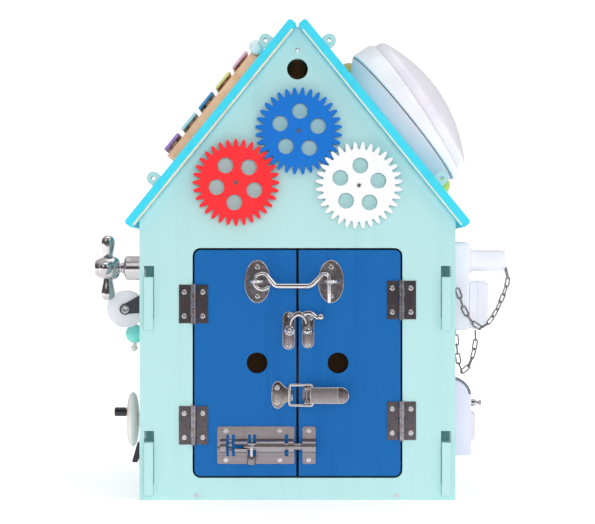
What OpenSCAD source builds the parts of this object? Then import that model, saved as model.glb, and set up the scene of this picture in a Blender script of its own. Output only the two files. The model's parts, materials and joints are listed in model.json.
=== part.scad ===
// House-shaped wooden busy board: an open cabinet with a gable roof, two doors with four
// different latches, three meshing gears, and fittings on both side walls and on both roof boards.
// Millimetres. Origin at the middle of the footprint, +Z up, front panel facing -Y.

/* [House] */
// Width of the front and back panels
panel_w = 316; // [290:1:380]
// Depth of the house over both panels
house_d = 300; // [280:1:360]
// Height of the gable apex, where the two roof boards meet
apex_z = 474; // [460:1:560]
// Slope of the roof boards in degrees
pitch = 50.9; // [50:0.1:53]
// Thickness of the plywood panels and walls
ply_t = 9; // [7:0.5:11]
// Distance from the middle to the outer face of a side wall
wall_x = 153; // [140:1:160]
// Clearance of a tab or tenon in its slot, each side
slot_gap = 0.5; // [0.3:0.1:1]
// Length of a roof board down the slope
roof_len = 261; // [250:1:330]
// Thickness of a roof board
roof_t = 10; // [8:0.5:12]
// Overhang of the roof boards in front of and behind the panels
roof_over = 15; // [8:1:30]
// Rounding of the roof board edges
roof_round = 3; // [1:0.5:4]

/* [Tabs and tenons] */
// Radius of a round roof tab
ear_r = 6.5; // [5:0.5:8]
// Height of a tab's centre above the panel edge
ear_n = 16; // [14:0.5:20]
// Bore of a tab
ear_bore = 4; // [2:0.5:6]
// Distances of the tabs down the slope from the apex
ear_s = [31, 209];
// Height of the hooked face of a tenon
hook_h = 53; // [40:1:60]
// Drop of a tenon's hook below its slot
hook_drop = 11; // [8:1:14]
// How far the hook stands out of the panel
hook_out = 8; // [4:0.5:12]
// Bottoms of the lower and upper hooks
hook_z = [5, 170];

/* [Panel holes] */
// Diameter of the large gable hole
gable_hole_d = 21; // [10:1:30]
// Height of the large gable hole
gable_hole_z = 431; // [420:1:440]
// Diameter of the small gable hole
gable_pin_d = 4; // [2:0.5:6]
// Height of the small gable hole
gable_pin_z = 450; // [446:1:455]

/* [Doors] */
// Width of the door opening
opening_w = 210; // [190:1:220]
// Bottom of the door opening
opening_z = 22; // [15:1:30]
// Height of the door opening
opening_h = 230; // [220:1:240]
// Corner radius of the door opening
opening_r = 8; // [4:1:12]
// Gap round the doors
door_gap = 2; // [1.5:0.1:3]
// Gap between the two doors
seam_gap = 2.5; // [2:0.1:4]
// Thickness of a door
door_t = 8; // [6:0.5:9]
// Diameter of the finger hole in each door
finger_d = 21; // [16:1:26]
// Distance of a finger hole from the middle
finger_x = 40.5; // [30:0.5:60]
// Height of the finger holes
finger_z = 137; // [125:1:150]

/* [Hinges] */
// Height of a hinge
hinge_h = 38.5; // [30:0.5:50]
// Width of one hinge leaf from its axis
hinge_leaf_w = 14.5; // [12:0.5:20]
// Thickness of sheet-metal leaves and latch plates
plate_t = 1.2; // [0.8:0.1:1.6]
// Outer radius of a hinge knuckle
knuckle_r = 2.6; // [2.2:0.1:3.5]
// Radius of a hinge pin
hinge_pin_r = 1.2; // [0.8:0.1:1.5]
// Running clearance of a pin in its bore
run_gap = 0.2; // [0.1:0.05:0.4]
// Centre heights of the left hinges
left_hinge_z = [74.75, 196];
// Centre heights of the right hinges
right_hinge_z = [79.25, 200];
// Spacing of the two screws in a leaf
hinge_screw_pitch = 24; // [16:1:30]

/* [Screws] */
// Diameter of a plate screw's shank
screw_d = 2.6; // [2:0.1:3.5]
// Diameter of a plate screw's head
screw_head_d = 5; // [4:0.1:7]
// Height of a plate screw's head
screw_head_h = 1; // [0.6:0.1:1.5]
// Length of a plate screw under its head
screw_l = 7; // [5:0.5:8]

/* [Gears] */
// Number of teeth on each gear
gear_teeth = 32; // [24:1:40]
// Pitch radius of the gears
gear_r = 40.5; // [34:0.5:42]
// Height of a tooth outside the pitch radius
tooth_out = 2.9; // [2:0.1:3.2]
// Depth of a tooth inside the pitch radius
tooth_in = 4.4; // [3.6:0.1:5]
// Pressure angle of the teeth in degrees
tooth_press = 20; // [18:0.5:22]
// Play between two meshing teeth
tooth_play = 0.5; // [0.4:0.05:0.9]
// Thickness of a gear
gear_t = 6; // [4:0.5:8]
// Gap between the panel and a gear
gear_gap = 3; // [2:0.5:6]
// Diameter of the round holes in a gear
gear_hole_d = 15.8; // [10:0.2:17]
// Radius of the circle that the holes sit on
gear_hole_r = 19.9; // [17:0.1:22]
// Middle gear's axis, as distance to the side and height
gear_mid = [1.2, 368.7];
// Direction of the left gear from the middle gear in degrees
gear_left_a = 219.4; // [215:0.1:225]
// Direction of the right gear from the middle gear in degrees
gear_right_a = -42.2; // [-46:0.1:-38]
// Direction of one hole in the middle, left and right gears
gear_hole_a = [86, 49.6, 85.9];
// Radius of the screw that a gear turns on
gear_axle_r = 1.6; // [1.2:0.1:2.2]

/* [Cabin hook] */
// Height of the cabin hook's pivot
cabin_z = 218.5; // [210:0.5:225]
// Places of the left and right eye plates
cabin_plate_x = [-40, 33.5];
// Width and height of an eye plate
cabin_plate = [26, 43];
// Middle radius of an eye ring
eye_r = 5.9; // [5:0.1:7]
// Radius of the eye's wire
eye_wire = 1.4; // [1:0.1:1.6]
// Radius of the hook's wire
hook_wire = 1.9; // [1.5:0.1:2.2]
// Middle radius of the hook's end loop
hook_loop_r = 8; // [7:0.1:8.5]
// Side distance of the hook's pivot from the middle
cabin_pivot_x = -35; // [-40:0.5:-30]
// Side distance of the hook's drop pin from the middle
cabin_pin_x = 31.6; // [31:0.1:33]

/* [Swan-neck latch] */
// Height of the swan-neck latch's pivot and stud
swan_z = 169.4; // [165:0.2:174]
// Side distance of the pivot
swan_pivot_x = 9.6; // [8:0.2:12]
// Side distance of the stud
swan_stud_x = -7.9; // [-10:0.1:-6]
// Width and height of the two plates
swan_plate = [12.2, 38];
// Radius of the stud's neck
stud_r = 2.2; // [1.6:0.1:2.6]
// Radius of the stud's ball
stud_ball_r = 3.3; // [3:0.1:4]
// Thickness of the lever
swan_t = 3; // [2:0.5:4]

/* [Toggle latch] */
// Height of the toggle latch's middle
toggle_z = 105; // [100:0.5:110]
// Side distance of the lever's pivot
toggle_pivot_x = 9.5; // [9:0.1:11]
// Distance of the lever's pivot in front of the door
toggle_pivot_out = 5.8; // [5.5:0.1:7]
// Distance from the lever's pivot to the loop's pivot
toggle_throw = 5.2; // [4.5:0.1:6]
// Width of the lever
toggle_w = 17; // [14:0.5:20]
// Length of the lever from its pivot
toggle_l = 41; // [30:1:45]
// Radius of the loop's wire
loop_wire = 1.25; // [1:0.05:1.4]
// Side distance of the loop's bar from the middle
loop_bar_x = -7.9; // [-8.5:0.1:-7]

/* [Barrel bolt] */
// Height of the bolt
bolt_z = 54; // [50:0.5:58]
// Left and right ends of the housing plate
bolt_plate_x = [-80.2, -3.1];
// Height of the housing plate
bolt_plate_h = 37.4; // [30:0.2:40]
// Radius of the rod
bolt_r = 3.75; // [3:0.05:4]
// Distance of the rod's axis in front of the door
bolt_out = 5.2; // [5:0.1:6]
// Outer radius of the housing barrel
barrel_r = 6.5; // [6:0.1:7.5]
// Clearance of the rod in its barrel
bolt_gap = 0.45; // [0.3:0.05:0.6]
// Side distance of the handle's stem
bolt_stem_x = -45.7; // [-47:0.1:-45]
// Travel of the rod
bolt_travel = 21; // [18:0.5:22]
// Width of the notch at each end of the slot
bolt_notch_w = 8.4; // [7:0.1:10]
// Left and right ends of the strike plate
strike_x = [4.9, 18.1];

/* [Tap] */
// Place of the tap on the left wall, as depth and height
tap_at = [-70, 231.8];
// Radius of the bell-shaped body
tap_r = 12.6; // [10:0.2:15]
// Length of the body with its neck
tap_neck_l = 31.5; // [28:0.5:36]
// Radius of the handle over its arm ends
tap_span_r = 33.8; // [28:0.2:38]
// Radius of an arm's rounded end
tap_arm_r = 6.2; // [5:0.1:7]

/* [Caster] */
// Place of the caster on the left wall, as depth and height of its swivel
caster_at = [-20, 195.4];
// Radius of the caster wheel
caster_r = 19.7; // [17:0.1:22]
// Width of the caster wheel
caster_w = 16; // [12:0.5:18]
// Distance of the wheel's axle from the wall
caster_h = 29.6; // [29:0.1:34]
// Offset of the axle below the swivel
caster_trail = 7.4; // [4:0.1:10]
// Radius of the axle
caster_axle_r = 3; // [2:0.1:4]

/* [Crank wheel] */
// Place of the crank wheel on the left wall, as depth and height
crank_at = [-40, 72.2];
// Radius of the crank wheel
crank_r = 29; // [25:0.5:32]
// Distance of the wheel's back from the wall
crank_off = 15.4; // [13:0.2:18]
// Thickness of the crank wheel
crank_t = 10.4; // [8:0.2:12]
// Place of the knob on the wheel, as depth and height
crank_knob_at = [-17.8, 9.2];
// Radius of the knob
crank_knob_r = 4.75; // [4:0.05:6]
// Length of the knob
crank_knob_l = 12.4; // [10:0.2:16]

/* [Rocker switch] */
// Place of the switch on the left wall, as depth and height
switch_at = [-118, 45];
// Height, width and depth of the switch box
switch_size = [28, 17, 7];
// Width of the rocker
rocker_w = 11; // [8:0.5:12]
// Clearance round the rocker in its pocket
rocker_gap = 0.6; // [0.4:0.1:1]

/* [Bead on a cord] */
// Radius of the cord
cord_r = 2; // [1.5:0.1:2.2]
// Radius of the knot at each end of the cord
knot_r = 4.4; // [4:0.1:5]
// Radius of the bead
bead_r = 10.4; // [8:0.2:11]
// Radius of the bead's bore
bead_bore_r = 2.4; // [2.3:0.1:3.5]
// Height of the bead's middle
bead_z = 159.4; // [158.5:0.1:161]

/* [Plug socket] */
// Depth place of the socket's middle on the right wall
socket_y = -60; // [-70:1:-40]
// Bottom and top of the socket
socket_z = [166.9, 258.9];
// Width and depth of the socket
socket_size = [44, 25.2];
// Height of the upper plug's axis
plug_up_z = 239.4; // [236:0.2:242]
// Radius and length of the upper plug
plug_up = [10.8, 37.6];
// Bottom and top of the lower plug
plug_low_z = [169.2, 218.2];
// Width and depth of the lower plug
plug_low = [36, 19];
// Radius of a plug pin
plug_pin_r = 2.4; // [2:0.1:3]
// Length of a plug pin
plug_pin_l = 16; // [12:0.5:19]
// Spacing of the two plug pins
plug_pin_pitch = 19; // [16:0.5:22]

/* [Chains] */
// Outer length of a chain link
link_l = 12.4; // [10:0.2:14]
// Outer width of a chain link
link_w = 5.6; // [5:0.1:7]
// Radius of the link's wire
link_wire = 0.6; // [0.5:0.05:0.8]

/* [Push-button box] */
// Bottom and top of the box on the right wall
box_z = [38, 118.9];
// Depth place, width and depth of the box
box_y = -60; // [-70:1:-40]
// Width of the box
box_w = 46; // [36:1:60]
// Depth of the box from the wall
box_t = 26.6; // [22:0.2:30]
// Radius of the box's rounded top edge
box_round = 20; // [10:1:22]
// Bottom and top of the push button
button_z = [52, 82.3];
// How far the button stands out
button_out = 5.2; // [4:0.2:7]
// Travel of the button
button_travel = 3; // [2:0.5:3.5]
// Height of the small knob
knob_z = 91.2; // [89:0.2:94]
// Radius of the small knob
knob_r = 3.8; // [3:0.1:5]

/* [Push lamp] */
// Place of the lamp on the right roof, as distance down the slope and depth
lamp_at = [136, -70];
// Radius of the lamp's foot on the roof
lamp_foot_r = 63; // [50:1:70]
// Height of the tapered base
lamp_base_h = 19.5; // [14:0.5:24]
// Outer radius of the rim
lamp_r = 82; // [70:0.5:84]
// Radius of the lens
lens_r = 77.8; // [66:0.1:79]
// Clearance between lens and rim
lens_gap = 0.6; // [0.4:0.1:1]
// Height of the rim above the base at its middle
rim_h = 16.5; // [14:0.5:20]
// Tilt of the rim's top and of the lens in degrees
lamp_tilt = 5.4; // [0:0.1:5.6]
// Height of the lens edge above the rim
lens_edge_h = 9.5; // [6:0.5:14]
// Rise of the domed lens
lens_rise = 21; // [15:0.5:26]
// Wall of the lamp's plastic shells
lamp_wall = 2.5; // [2:0.5:4]
// Travel of the lens
lens_travel = 3.5; // [2:0.5:3.5]

/* [Bead rail] */
// Depth place of the rail on the right roof
rail_y = 45; // [42:1:120]
// Distances down the slope of the two end balls
rail_s = [57, 217];
// Height of the rod above the roof
rail_h = 17; // [14:0.5:22]
// Radius of the rod
rail_r = 2.5; // [2:0.1:3]
// Radius of an end ball
rail_ball_r = 12; // [10:0.5:13]
// Radius of a sliding bead
rail_bead_r = 10; // [8:0.5:11]
// Number of sliding beads
rail_beads_n = 5; // [2:1:6]

/* [Xylophone] */
// Start and end of the base board down the left roof
xylo_s = [47, 183];
// Front edge and width in depth of the base board
xylo_y = [-118, 88];
// Thickness of the base board
xylo_t = 12; // [8:0.5:16]
// Distance of the first key's middle down the slope
key_s0 = 60.4; // [58:0.2:63]
// Spacing of the keys
key_pitch = 27.15; // [26:0.05:28]
// Width of a key
key_w = 21.8; // [16:0.2:24]
// Thickness of a key
key_t = 2.5; // [2:0.1:4]
// Height of the spacers under the keys
key_lift = 3.3; // [2:0.1:5]
// Lengths of the shortest and longest keys
key_l = [86, 110];

/* [Mallet] */
// Distance of the mallet down the left roof
mallet_s = 41; // [39:0.2:42]
// Height of the mallet's axis above the roof
mallet_h = 10; // [9:0.2:14]
// Depth place of the mallet's head
mallet_y = -131; // [-135:0.5:-130]
// Radius of the mallet's head
mallet_ball_r = 7.3; // [6:0.1:7.6]
// Radius of the mallet's stick
mallet_r = 2.5; // [2:0.1:3]
// Length of the mallet's stick
mallet_l = 150; // [120:1:200]

/* [Hidden] */
$fn = 48;
eps = 0.02;
big = 400;

mint = "#a9d6d0";
cyan = "#1cc3d3";
steel = "#5a5c60";
chrome = "#c5c8cc";
blue = "#2f6fd0";
red = "#f2453f";
white = "#f4f2ef";
wood = "#e2c79a";

front_y = -house_d / 2;
inner_d = house_d - 2 * ply_t;
eave_z = apex_z - panel_w / 2 * tan(pitch);
wall_top = apex_z - wall_x * tan(pitch) - 0.2;
slot_w = ply_t + 2 * slot_gap;
wall_mid = wall_x - ply_t / 2;
hook_front = hook_out;
floor_screw_z = ply_t / 2;
floor_screw_x = [-101, 99.5];
hinge_x = opening_w / 2 - door_gap / 2;
door_x1 = opening_w / 2 - door_gap;
door_x0 = seam_gap / 2;
door_z0 = opening_z + door_gap;
door_h = opening_h - 2 * door_gap;
door_r = opening_r - door_gap;
leaf_screw_x = hinge_x - 9;

toggle_base_screw_x = toggle_pivot_x + 16;
// Places of the plate screws on each door: side distance, height, distance in front of the door
function hinge_screws(side, zs) = [for (z = zs, k = [-1, 1])
    [side * (hinge_x - 9.2), z + k * hinge_screw_pitch / 2, plate_t]];
swan_left_screws = [[swan_stud_x + 0.4, swan_z + 15.6], [swan_stud_x - 0.6, swan_z - 14.4]];
swan_right_screws = [[swan_pivot_x + 3.2, swan_z + 12.6], [swan_pivot_x + 0.6, swan_z - 13.4]];
catch_x = [-25.7, -9.1];
catch_screw_x = -20.3;
catch_screws = [[catch_screw_x, toggle_z + 7.4], [catch_screw_x, toggle_z - 7.4]];
bolt_screw_dz = bolt_plate_h / 2 - 4.4;
bolt_screws = [for (x = [bolt_plate_x[0] + 8.7, bolt_plate_x[1] - 14.6], k = [-1, 1])
    [x, bolt_z + 0.8 + k * bolt_screw_dz]];
strike_screws = [for (k = [-1, 1])
    [(strike_x[0] + strike_x[1]) / 2 - 0.5, bolt_z + 0.8 + k * bolt_screw_dz]];
cabin_screw_dz = cabin_plate[1] / 2 - 7;
function cabin_screws(x) = [for (k = [-1, 1]) [x, cabin_z + k * cabin_screw_dz]];
function on_plate(points) = [for (p = points) [p[0], p[1], plate_t]];
left_screws = concat(hinge_screws(-1, left_hinge_z), on_plate(cabin_screws(cabin_plate_x[0])),
    on_plate(swan_left_screws), on_plate(catch_screws), on_plate(bolt_screws));
right_screws = concat(hinge_screws(1, right_hinge_z), on_plate(cabin_screws(cabin_plate_x[1])),
    on_plate(swan_right_screws), on_plate(strike_screws),
    on_plate([[toggle_base_screw_x, toggle_z]]));
frame_hinge_screws = [
    for (z = left_hinge_z, k = [-1, 1]) [-(hinge_x + 9.2), z + k * hinge_screw_pitch / 2, plate_t],
    for (z = right_hinge_z, k = [-1, 1]) [hinge_x + 9.2, z + k * hinge_screw_pitch / 2, plate_t]];

gear_left = gear_mid + 2 * gear_r * [cos(gear_left_a), sin(gear_left_a)];
gear_right = gear_mid + 2 * gear_r * [cos(gear_right_a), sin(gear_right_a)];
gear_places = [gear_mid, gear_left, gear_right];
tooth_a = 360 / gear_teeth;
tooth_base_r = gear_r * cos(tooth_press);
mid_tooth_a = gear_left_a;
function mesh_a(dir) = 2 * dir + 180 - mid_tooth_a + tooth_a / 2;

eye_out = eye_r + eye_wire + 0.1;
eye_left_x = cabin_pivot_x - eye_r;
eye_right_x = cabin_pin_x - hook_wire - 0.5 + eye_r - eye_wire;
swan_out = 4;
toggle_side = toggle_w / 2;
toggle_inner = toggle_side - 2.7;
loop_half = toggle_side + 0.4 + loop_wire;
loop_pivot_x = toggle_pivot_x + toggle_throw;
loop_pivot_out = toggle_pivot_out + 0.6;
loop_bar_out = plate_t + 1 + loop_wire;
notch_x = [bolt_stem_x - bolt_travel, bolt_stem_x];
barrel_bore = bolt_r + bolt_gap;
collar_l = 6;
groove_r = bolt_r - 1.1;

caster_arm_t = 1.6;
caster_fork_w = caster_w + 2;
rocker_l = switch_size[0] - 7;
bead_at = [-178, 40];
cord_hole_z = 184;
box_mid_z = (box_z[0] + box_z[1]) / 2;
lens_sphere_r = (lens_r * lens_r + lens_rise * lens_rise) / (2 * lens_rise);
rail_step = 2 * rail_bead_r;
rail_free = rail_s[1] - rail_s[0] - 2 * rail_ball_r - rail_beads_n * rail_step;

// Route of the pull cord's middle line, from the knot inside the wall to the knot below the bead
cord_in = ply_t - wall_x;
cord_route = [[cord_in + 8.6, 40, 184], [cord_in + 4.4, 40, 184], [cord_in + 0.3, 40, 184],
    [-154, 40, 184], [-161, 40, 183.6],
    [-167, 40, 182.2], [-172, 40, 179.4], [-175.5, 40, 175.4], [-177.5, 40, 171], [-178, 40, 166],
    [-178, 40, 158], [-178, 40, 150], [-178, 40, 148], [-178.3, 40, 146.4], [-178.8, 40, 144],
    [-179.2, 40, 141.6], [-179.5, 40, 140.2]];
// Radius of the cord at each point of its route, as a share between the cord and its knots
cord_swell = [0.3, 1, 0, 0, 0, 0, 0, 0, 0, 0, 0, 0, 0, 0.8, 1, 0.75, 0.2];

// Routes of the two chains, from the plug to the wall
chain_a_route = [[217.5, -60, 231], [218, -61, 222], [214, -66, 209], [209, -74, 196],
    [203, -82, 184], [196, -87, 174], [189, -89, 169.5], [182, -89, 174], [176, -89, 181],
    [171, -89, 190], [168, -89, 200], [165.4, -89, 209], [161.6, -89, 215.5]];
chain_b_route = [[184, -80, 166.6], [184, -83, 158], [182.5, -86, 147], [179, -88.5, 136],
    [174.5, -89, 127], [170, -89, 124.2], [166.5, -89, 131], [165, -89, 142], [164, -89, 153],
    [163, -89, 164], [161.4, -89, 174.6]];

// Distance along a route up to point k
function run(p, k) = k == 0 ? 0 : run(p, k - 1) + norm(p[k] - p[k - 1]);
// Point of a route at distance d
function along(p, d, k = 1) = k >= len(p) ? p[len(p) - 1]
    : d <= norm(p[k] - p[k - 1]) ? p[k - 1] + (p[k] - p[k - 1]) * d / norm(p[k] - p[k - 1])
    : along(p, d - norm(p[k] - p[k - 1]), k + 1);
function unit(v) = v / max(norm(v), eps / 100);
function smooth(p) = [for (i = [0 : len(p) - 1]) i == 0 || i == len(p) - 1 ? p[i]
    : (p[i - 1] + 6 * p[i] + p[i + 1]) / 8];

function polar(r, a) = [r * cos(a), r * sin(a)];
function arc(centre, r, a0, a1, n) = [for (i = [0 : n]) centre + polar(r, a0 + (a1 - a0) * i / n)];

// ---- placing ----
module on_front(x, z, out = 0) translate([x, front_y - out, z]) rotate([90, 0, 0]) children();
module on_back(x, z, out = 0) translate([x, -front_y + out, z]) rotate([90, 0, 180]) children();
// On the side walls the local x axis points up, y points back and z points out of the wall
module on_left(at, out = 0) translate([-wall_x - out, at[0], at[1]]) rotate([0, -90, 0]) children();
module on_right(at, out = 0) translate([wall_x + out, at[0], at[1]])
    mirror([1, 0, 0]) rotate([0, -90, 0]) children();
// On the roof the local x axis points down the slope, y points back and z points out of the board
module on_right_roof(s, y, h = 0) translate([0, 0, apex_z]) rotate([0, pitch, 0])
    translate([s, y, roof_t + h]) children();
module on_left_roof(s, y, h = 0) mirror([1, 0, 0]) on_right_roof(s, y, h) children();

// ---- shapes ----
module rounded(w, h, r) {
    translate([r, 0]) square([w - 2 * r, h]);
    translate([0, r]) square([w, h - 2 * r]);
    for (x = [r, w - r], y = [r, h - r]) translate([x, y]) circle(r);
}
module middle_rounded(w, h, r) translate([-w / 2, -h / 2]) rounded(w, h, r);
module rod(a, b, r) {
    v = b - a;
    translate(a) rotate([0, acos(v[2] / norm(v)), atan2(v[1], v[0])]) cylinder(r = r, h = norm(v));
}
module tube(p, radii, flat, sides) {
    ring_n = len(p);
    pts = [for (i = [0 : ring_n - 1])
        let (t = unit(p[min(i + 1, ring_n - 1)] - p[max(i - 1, 0)]),
            u = unit(cross(t, flat)), v = cross(t, u))
        for (k = [0 : sides - 1])
            p[i] + radii[i] * (cos(360 * k / sides) * u + sin(360 * k / sides) * v)];
    faces = concat([[for (k = [0 : sides - 1]) k]],
        [for (i = [0 : ring_n - 2], k = [0 : sides - 1])
            let (a = i * sides + k, b = i * sides + (k + 1) % sides)
            [a, a + sides, b + sides, b]],
        [[for (k = [sides - 1 : -1 : 0]) (ring_n - 1) * sides + k]]);
    polyhedron(pts, faces);
}
module wire(points, r) {
    for (i = [1 : len(points) - 1]) rod(points[i - 1], points[i], r);
    for (p = points) translate(p) sphere(r + 0.05);
}
module arc_ring(mid_r, width, t, a0, a1) rotate([0, 0, a0]) rotate_extrude(angle = a1 - a0)
    translate([mid_r - width / 2, 0]) square([width, t]);
module screw_holes(places, r = screw_d / 2 + 0.15)
    for (p = places) on_front(p[0], p[1], -screw_l - 0.3) cylinder(r = r, h = screw_l + 30);
module screws(places) for (i = [0 : len(places) - 1])
    on_front(places[i][0], places[i][1], places[i][2]) screw(37 * i);
module screw(turn) rotate([0, 0, turn]) difference() {
    union() {
        translate([0, 0, -screw_l]) cylinder(d = screw_d, h = screw_l + eps);
        cylinder(d = screw_head_d, h = screw_head_h * 0.5);
        translate([0, 0, screw_head_h * 0.5 - eps])
            cylinder(d1 = screw_head_d, d2 = screw_head_d * 0.7, h = screw_head_h * 0.5 + eps);
    }
    for (a = [0, 90]) rotate([0, 0, a])
        translate([-screw_head_d * 0.3, -0.35, screw_head_h * 0.45])
            cube([screw_head_d * 0.6, 0.7, screw_head_h]);
}

// ---- panels and walls ----
module panel_outline() difference() {
    union() {
        polygon([[-panel_w / 2, 0], [panel_w / 2, 0], [panel_w / 2, eave_z], [0, apex_z],
            [-panel_w / 2, eave_z]]);
        for (m = [0, 1]) mirror([m, 0]) translate([0, apex_z]) rotate(-pitch)
            for (s = ear_s) translate([s, 0]) {
                translate([-ear_r, -ear_r]) square([2 * ear_r, ear_n + ear_r]);
                translate([0, ear_n]) circle(ear_r);
            }
    }
    for (m = [0, 1]) mirror([m, 0]) {
        translate([0, apex_z]) rotate(-pitch)
            for (s = ear_s) translate([s, ear_n]) circle(d = ear_bore);
        for (z = hook_z) translate([wall_x - ply_t - slot_gap, z + hook_drop])
            square([slot_w, hook_h]);
    }
}
module front_panel() color(mint) difference() {
    on_front(0, 0, -ply_t) linear_extrude(ply_t) difference() {
        panel_outline();
        translate([-opening_w / 2, opening_z]) rounded(opening_w, opening_h, opening_r);
        translate([0, gable_hole_z]) circle(d = gable_hole_d);
        translate([0, gable_pin_z]) circle(d = gable_pin_d);
    }
    screw_holes(frame_hinge_screws);
    for (x = floor_screw_x) on_front(x, floor_screw_z, -ply_t - 1)
        cylinder(d = screw_d + 0.3, h = ply_t + 2);
    for (g = gear_places) on_front(g[0], g[1], -ply_t - 1) cylinder(r = gear_axle_r, h = ply_t + 2);
}
module back_panel() color(mint) difference() {
    on_back(0, 0, -ply_t) linear_extrude(ply_t) panel_outline();
    for (x = floor_screw_x) on_back(x, floor_screw_z, -ply_t - 1)
        cylinder(d = screw_d + 0.3, h = ply_t + 2);
}
module side_wall() {
    translate([wall_x - ply_t, -inner_d / 2, 0]) cube([ply_t, inner_d, wall_top]);
    for (m = [0, 1], z = hook_z) mirror([0, m, 0]) {
        translate([wall_x - ply_t, inner_d / 2 - 1, z + hook_drop])
            cube([ply_t, ply_t + 2, hook_h - hook_drop]);
        translate([wall_x - ply_t, house_d / 2, z]) cube([ply_t, hook_out, hook_h]);
    }
}
module left_wall() color(mint) difference() {
    mirror([1, 0, 0]) side_wall();
    on_left([bead_at[1], cord_hole_z], -ply_t - 1) cylinder(r = cord_r + 0.5, h = ply_t + 2);
}
module right_wall() color(mint) side_wall();
module floor_board() color(wood) difference() {
    translate([-wall_x + ply_t, -inner_d / 2, 0]) cube([2 * (wall_x - ply_t), inner_d, ply_t]);
    for (x = floor_screw_x) {
        on_front(x, floor_screw_z, -big / 10) cylinder(d = screw_d + 0.3, h = big / 10 + 1);
        on_back(x, floor_screw_z, -big / 10) cylinder(d = screw_d + 0.3, h = big / 10 + 1);
    }
}
module roof_board() translate([0, 0, apex_z]) rotate([0, pitch, 0]) difference() {
    translate([0, house_d / 2 + roof_over, 0]) rotate([90, 0, 0])
        linear_extrude(house_d + 2 * roof_over) rounded(roof_len, roof_t, roof_round);
    for (s = ear_s, m = [-1, 1])
        translate([s - ear_r - slot_gap, m * (house_d - ply_t) / 2 - slot_w / 2, -1])
            cube([2 * (ear_r + slot_gap), slot_w, roof_t + 2]);
}
module roof_right() color(cyan) roof_board();
module roof_left() color(cyan) mirror([1, 0, 0]) roof_board();
module frame_screws() color(steel) {
    screws(frame_hinge_screws);
    for (x = floor_screw_x) {
        on_front(x, floor_screw_z) floor_screw();
        on_back(x, floor_screw_z) floor_screw();
    }
}
module floor_screw() {
    translate([0, 0, -25]) cylinder(d = screw_d, h = 25 + eps);
    difference() {
        cylinder(d1 = screw_head_d, d2 = screw_head_d * 0.8, h = screw_head_h);
        for (a = [20, 110]) rotate([0, 0, a]) translate([-1.6, -0.35, screw_head_h * 0.4])
            cube([3.2, 0.7, screw_head_h]);
    }
}

// ---- doors and hinges ----
module door() on_front(0, 0, -door_t) linear_extrude(door_t) difference() {
    union() {
        translate([door_x0, door_z0]) rounded(door_x1 - door_x0, door_h, door_r);
        translate([door_x0, door_z0]) square([(door_x1 - door_x0) / 2, door_h]);
    }
    translate([finger_x, finger_z]) circle(d = finger_d);
}
module right_door() color(blue) difference() {
    door();
    screw_holes(right_screws);
}
module left_door() color(blue) difference() {
    mirror([1, 0, 0]) door();
    screw_holes(left_screws);
}
// One leaf to the right of its axis, with the knuckles listed in segs, out of five
module leaf(segs) {
    seg_h = hinge_h / 5;
    difference() {
        union() {
            translate([knuckle_r + 0.5, -hinge_h / 2, 0])
                cube([hinge_leaf_w - knuckle_r - 0.5, hinge_h, plate_t]);
            for (i = segs) {
                z0 = -hinge_h / 2 + i * seg_h + 0.15;
                translate([0, z0, 0]) cube([knuckle_r + 1, seg_h - 0.3, plate_t]);
                translate([0, z0, knuckle_r]) rotate([-90, 0, 0])
                    cylinder(r = knuckle_r, h = seg_h - 0.3);
            }
        }
        translate([0, -hinge_h, knuckle_r]) rotate([-90, 0, 0])
            cylinder(r = hinge_pin_r + run_gap, h = 2 * hinge_h);
    }
}
module hinge_frames() color(steel) {
    difference() {
        for (z = left_hinge_z) on_front(-hinge_x, z) mirror([1, 0, 0]) leaf([0, 2, 4]);
        screw_holes(frame_hinge_screws);
    }
    difference() {
        for (z = right_hinge_z) on_front(hinge_x, z) leaf([0, 2, 4]);
        screw_holes(frame_hinge_screws);
    }
    for (z = left_hinge_z) hinge_pin(-hinge_x, z);
    for (z = right_hinge_z) hinge_pin(hinge_x, z);
}
module hinge_pin(x, z) translate([x, front_y - knuckle_r, z - hinge_h / 2 - 0.8]) {
    cylinder(r = hinge_pin_r, h = hinge_h + 1.6);
    cylinder(r = knuckle_r - 0.5, h = 0.7);
    translate([0, 0, hinge_h + 0.9]) cylinder(r = knuckle_r - 0.5, h = 0.7);
}
module left_hinge_leaves() color(steel) difference() {
    for (z = left_hinge_z) on_front(-hinge_x, z) leaf([1, 3]);
    screw_holes(left_screws);
}
module right_hinge_leaves() color(steel) difference() {
    for (z = right_hinge_z) on_front(hinge_x, z) mirror([1, 0, 0]) leaf([1, 3]);
    screw_holes(right_screws);
}
module left_door_screws() color(steel) screws(left_screws);
module right_door_screws() color(steel) screws(right_screws);

// ---- gears ----
// Involute teeth. Each row is a radius and the tooth's half width there in degrees, from root to tip
function involute(a) = tan(a) - a * PI / 180;
function flank_a(r) = 180 / PI * ((PI * gear_r / gear_teeth - tooth_play / 2) / 2 / gear_r
    + involute(tooth_press) - involute(acos(min(1, tooth_base_r / r))));
tooth_profile = [[gear_r - tooth_in, flank_a(tooth_base_r) + tooth_a / 10],
    [gear_r - tooth_in + (tooth_base_r - gear_r + tooth_in) / 3, flank_a(tooth_base_r) + tooth_a / 50],
    for (r = [tooth_base_r, (tooth_base_r + gear_r) / 2, gear_r, gear_r + 0.5 * tooth_out,
        gear_r + 0.85 * tooth_out]) [r, flank_a(r)],
    [gear_r + tooth_out, 0.45 * flank_a(gear_r + tooth_out)]];
module gear(at, tooth_dir, hole_dir, c) color(c) on_front(at[0], at[1], gear_gap)
    linear_extrude(gear_t) difference() {
        polygon([for (i = [0 : gear_teeth - 1], k = [0 : 15])
            let (q = tooth_profile[k < 8 ? k : 15 - k], side = k < 8 ? -1 : 1)
            polar(q[0], tooth_dir + i * tooth_a + side * q[1])]);
        circle(r = gear_axle_r + run_gap);
        for (i = [0 : 4]) rotate(hole_dir + 72 * i) translate([gear_hole_r, 0])
            circle(d = gear_hole_d);
    }
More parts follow.
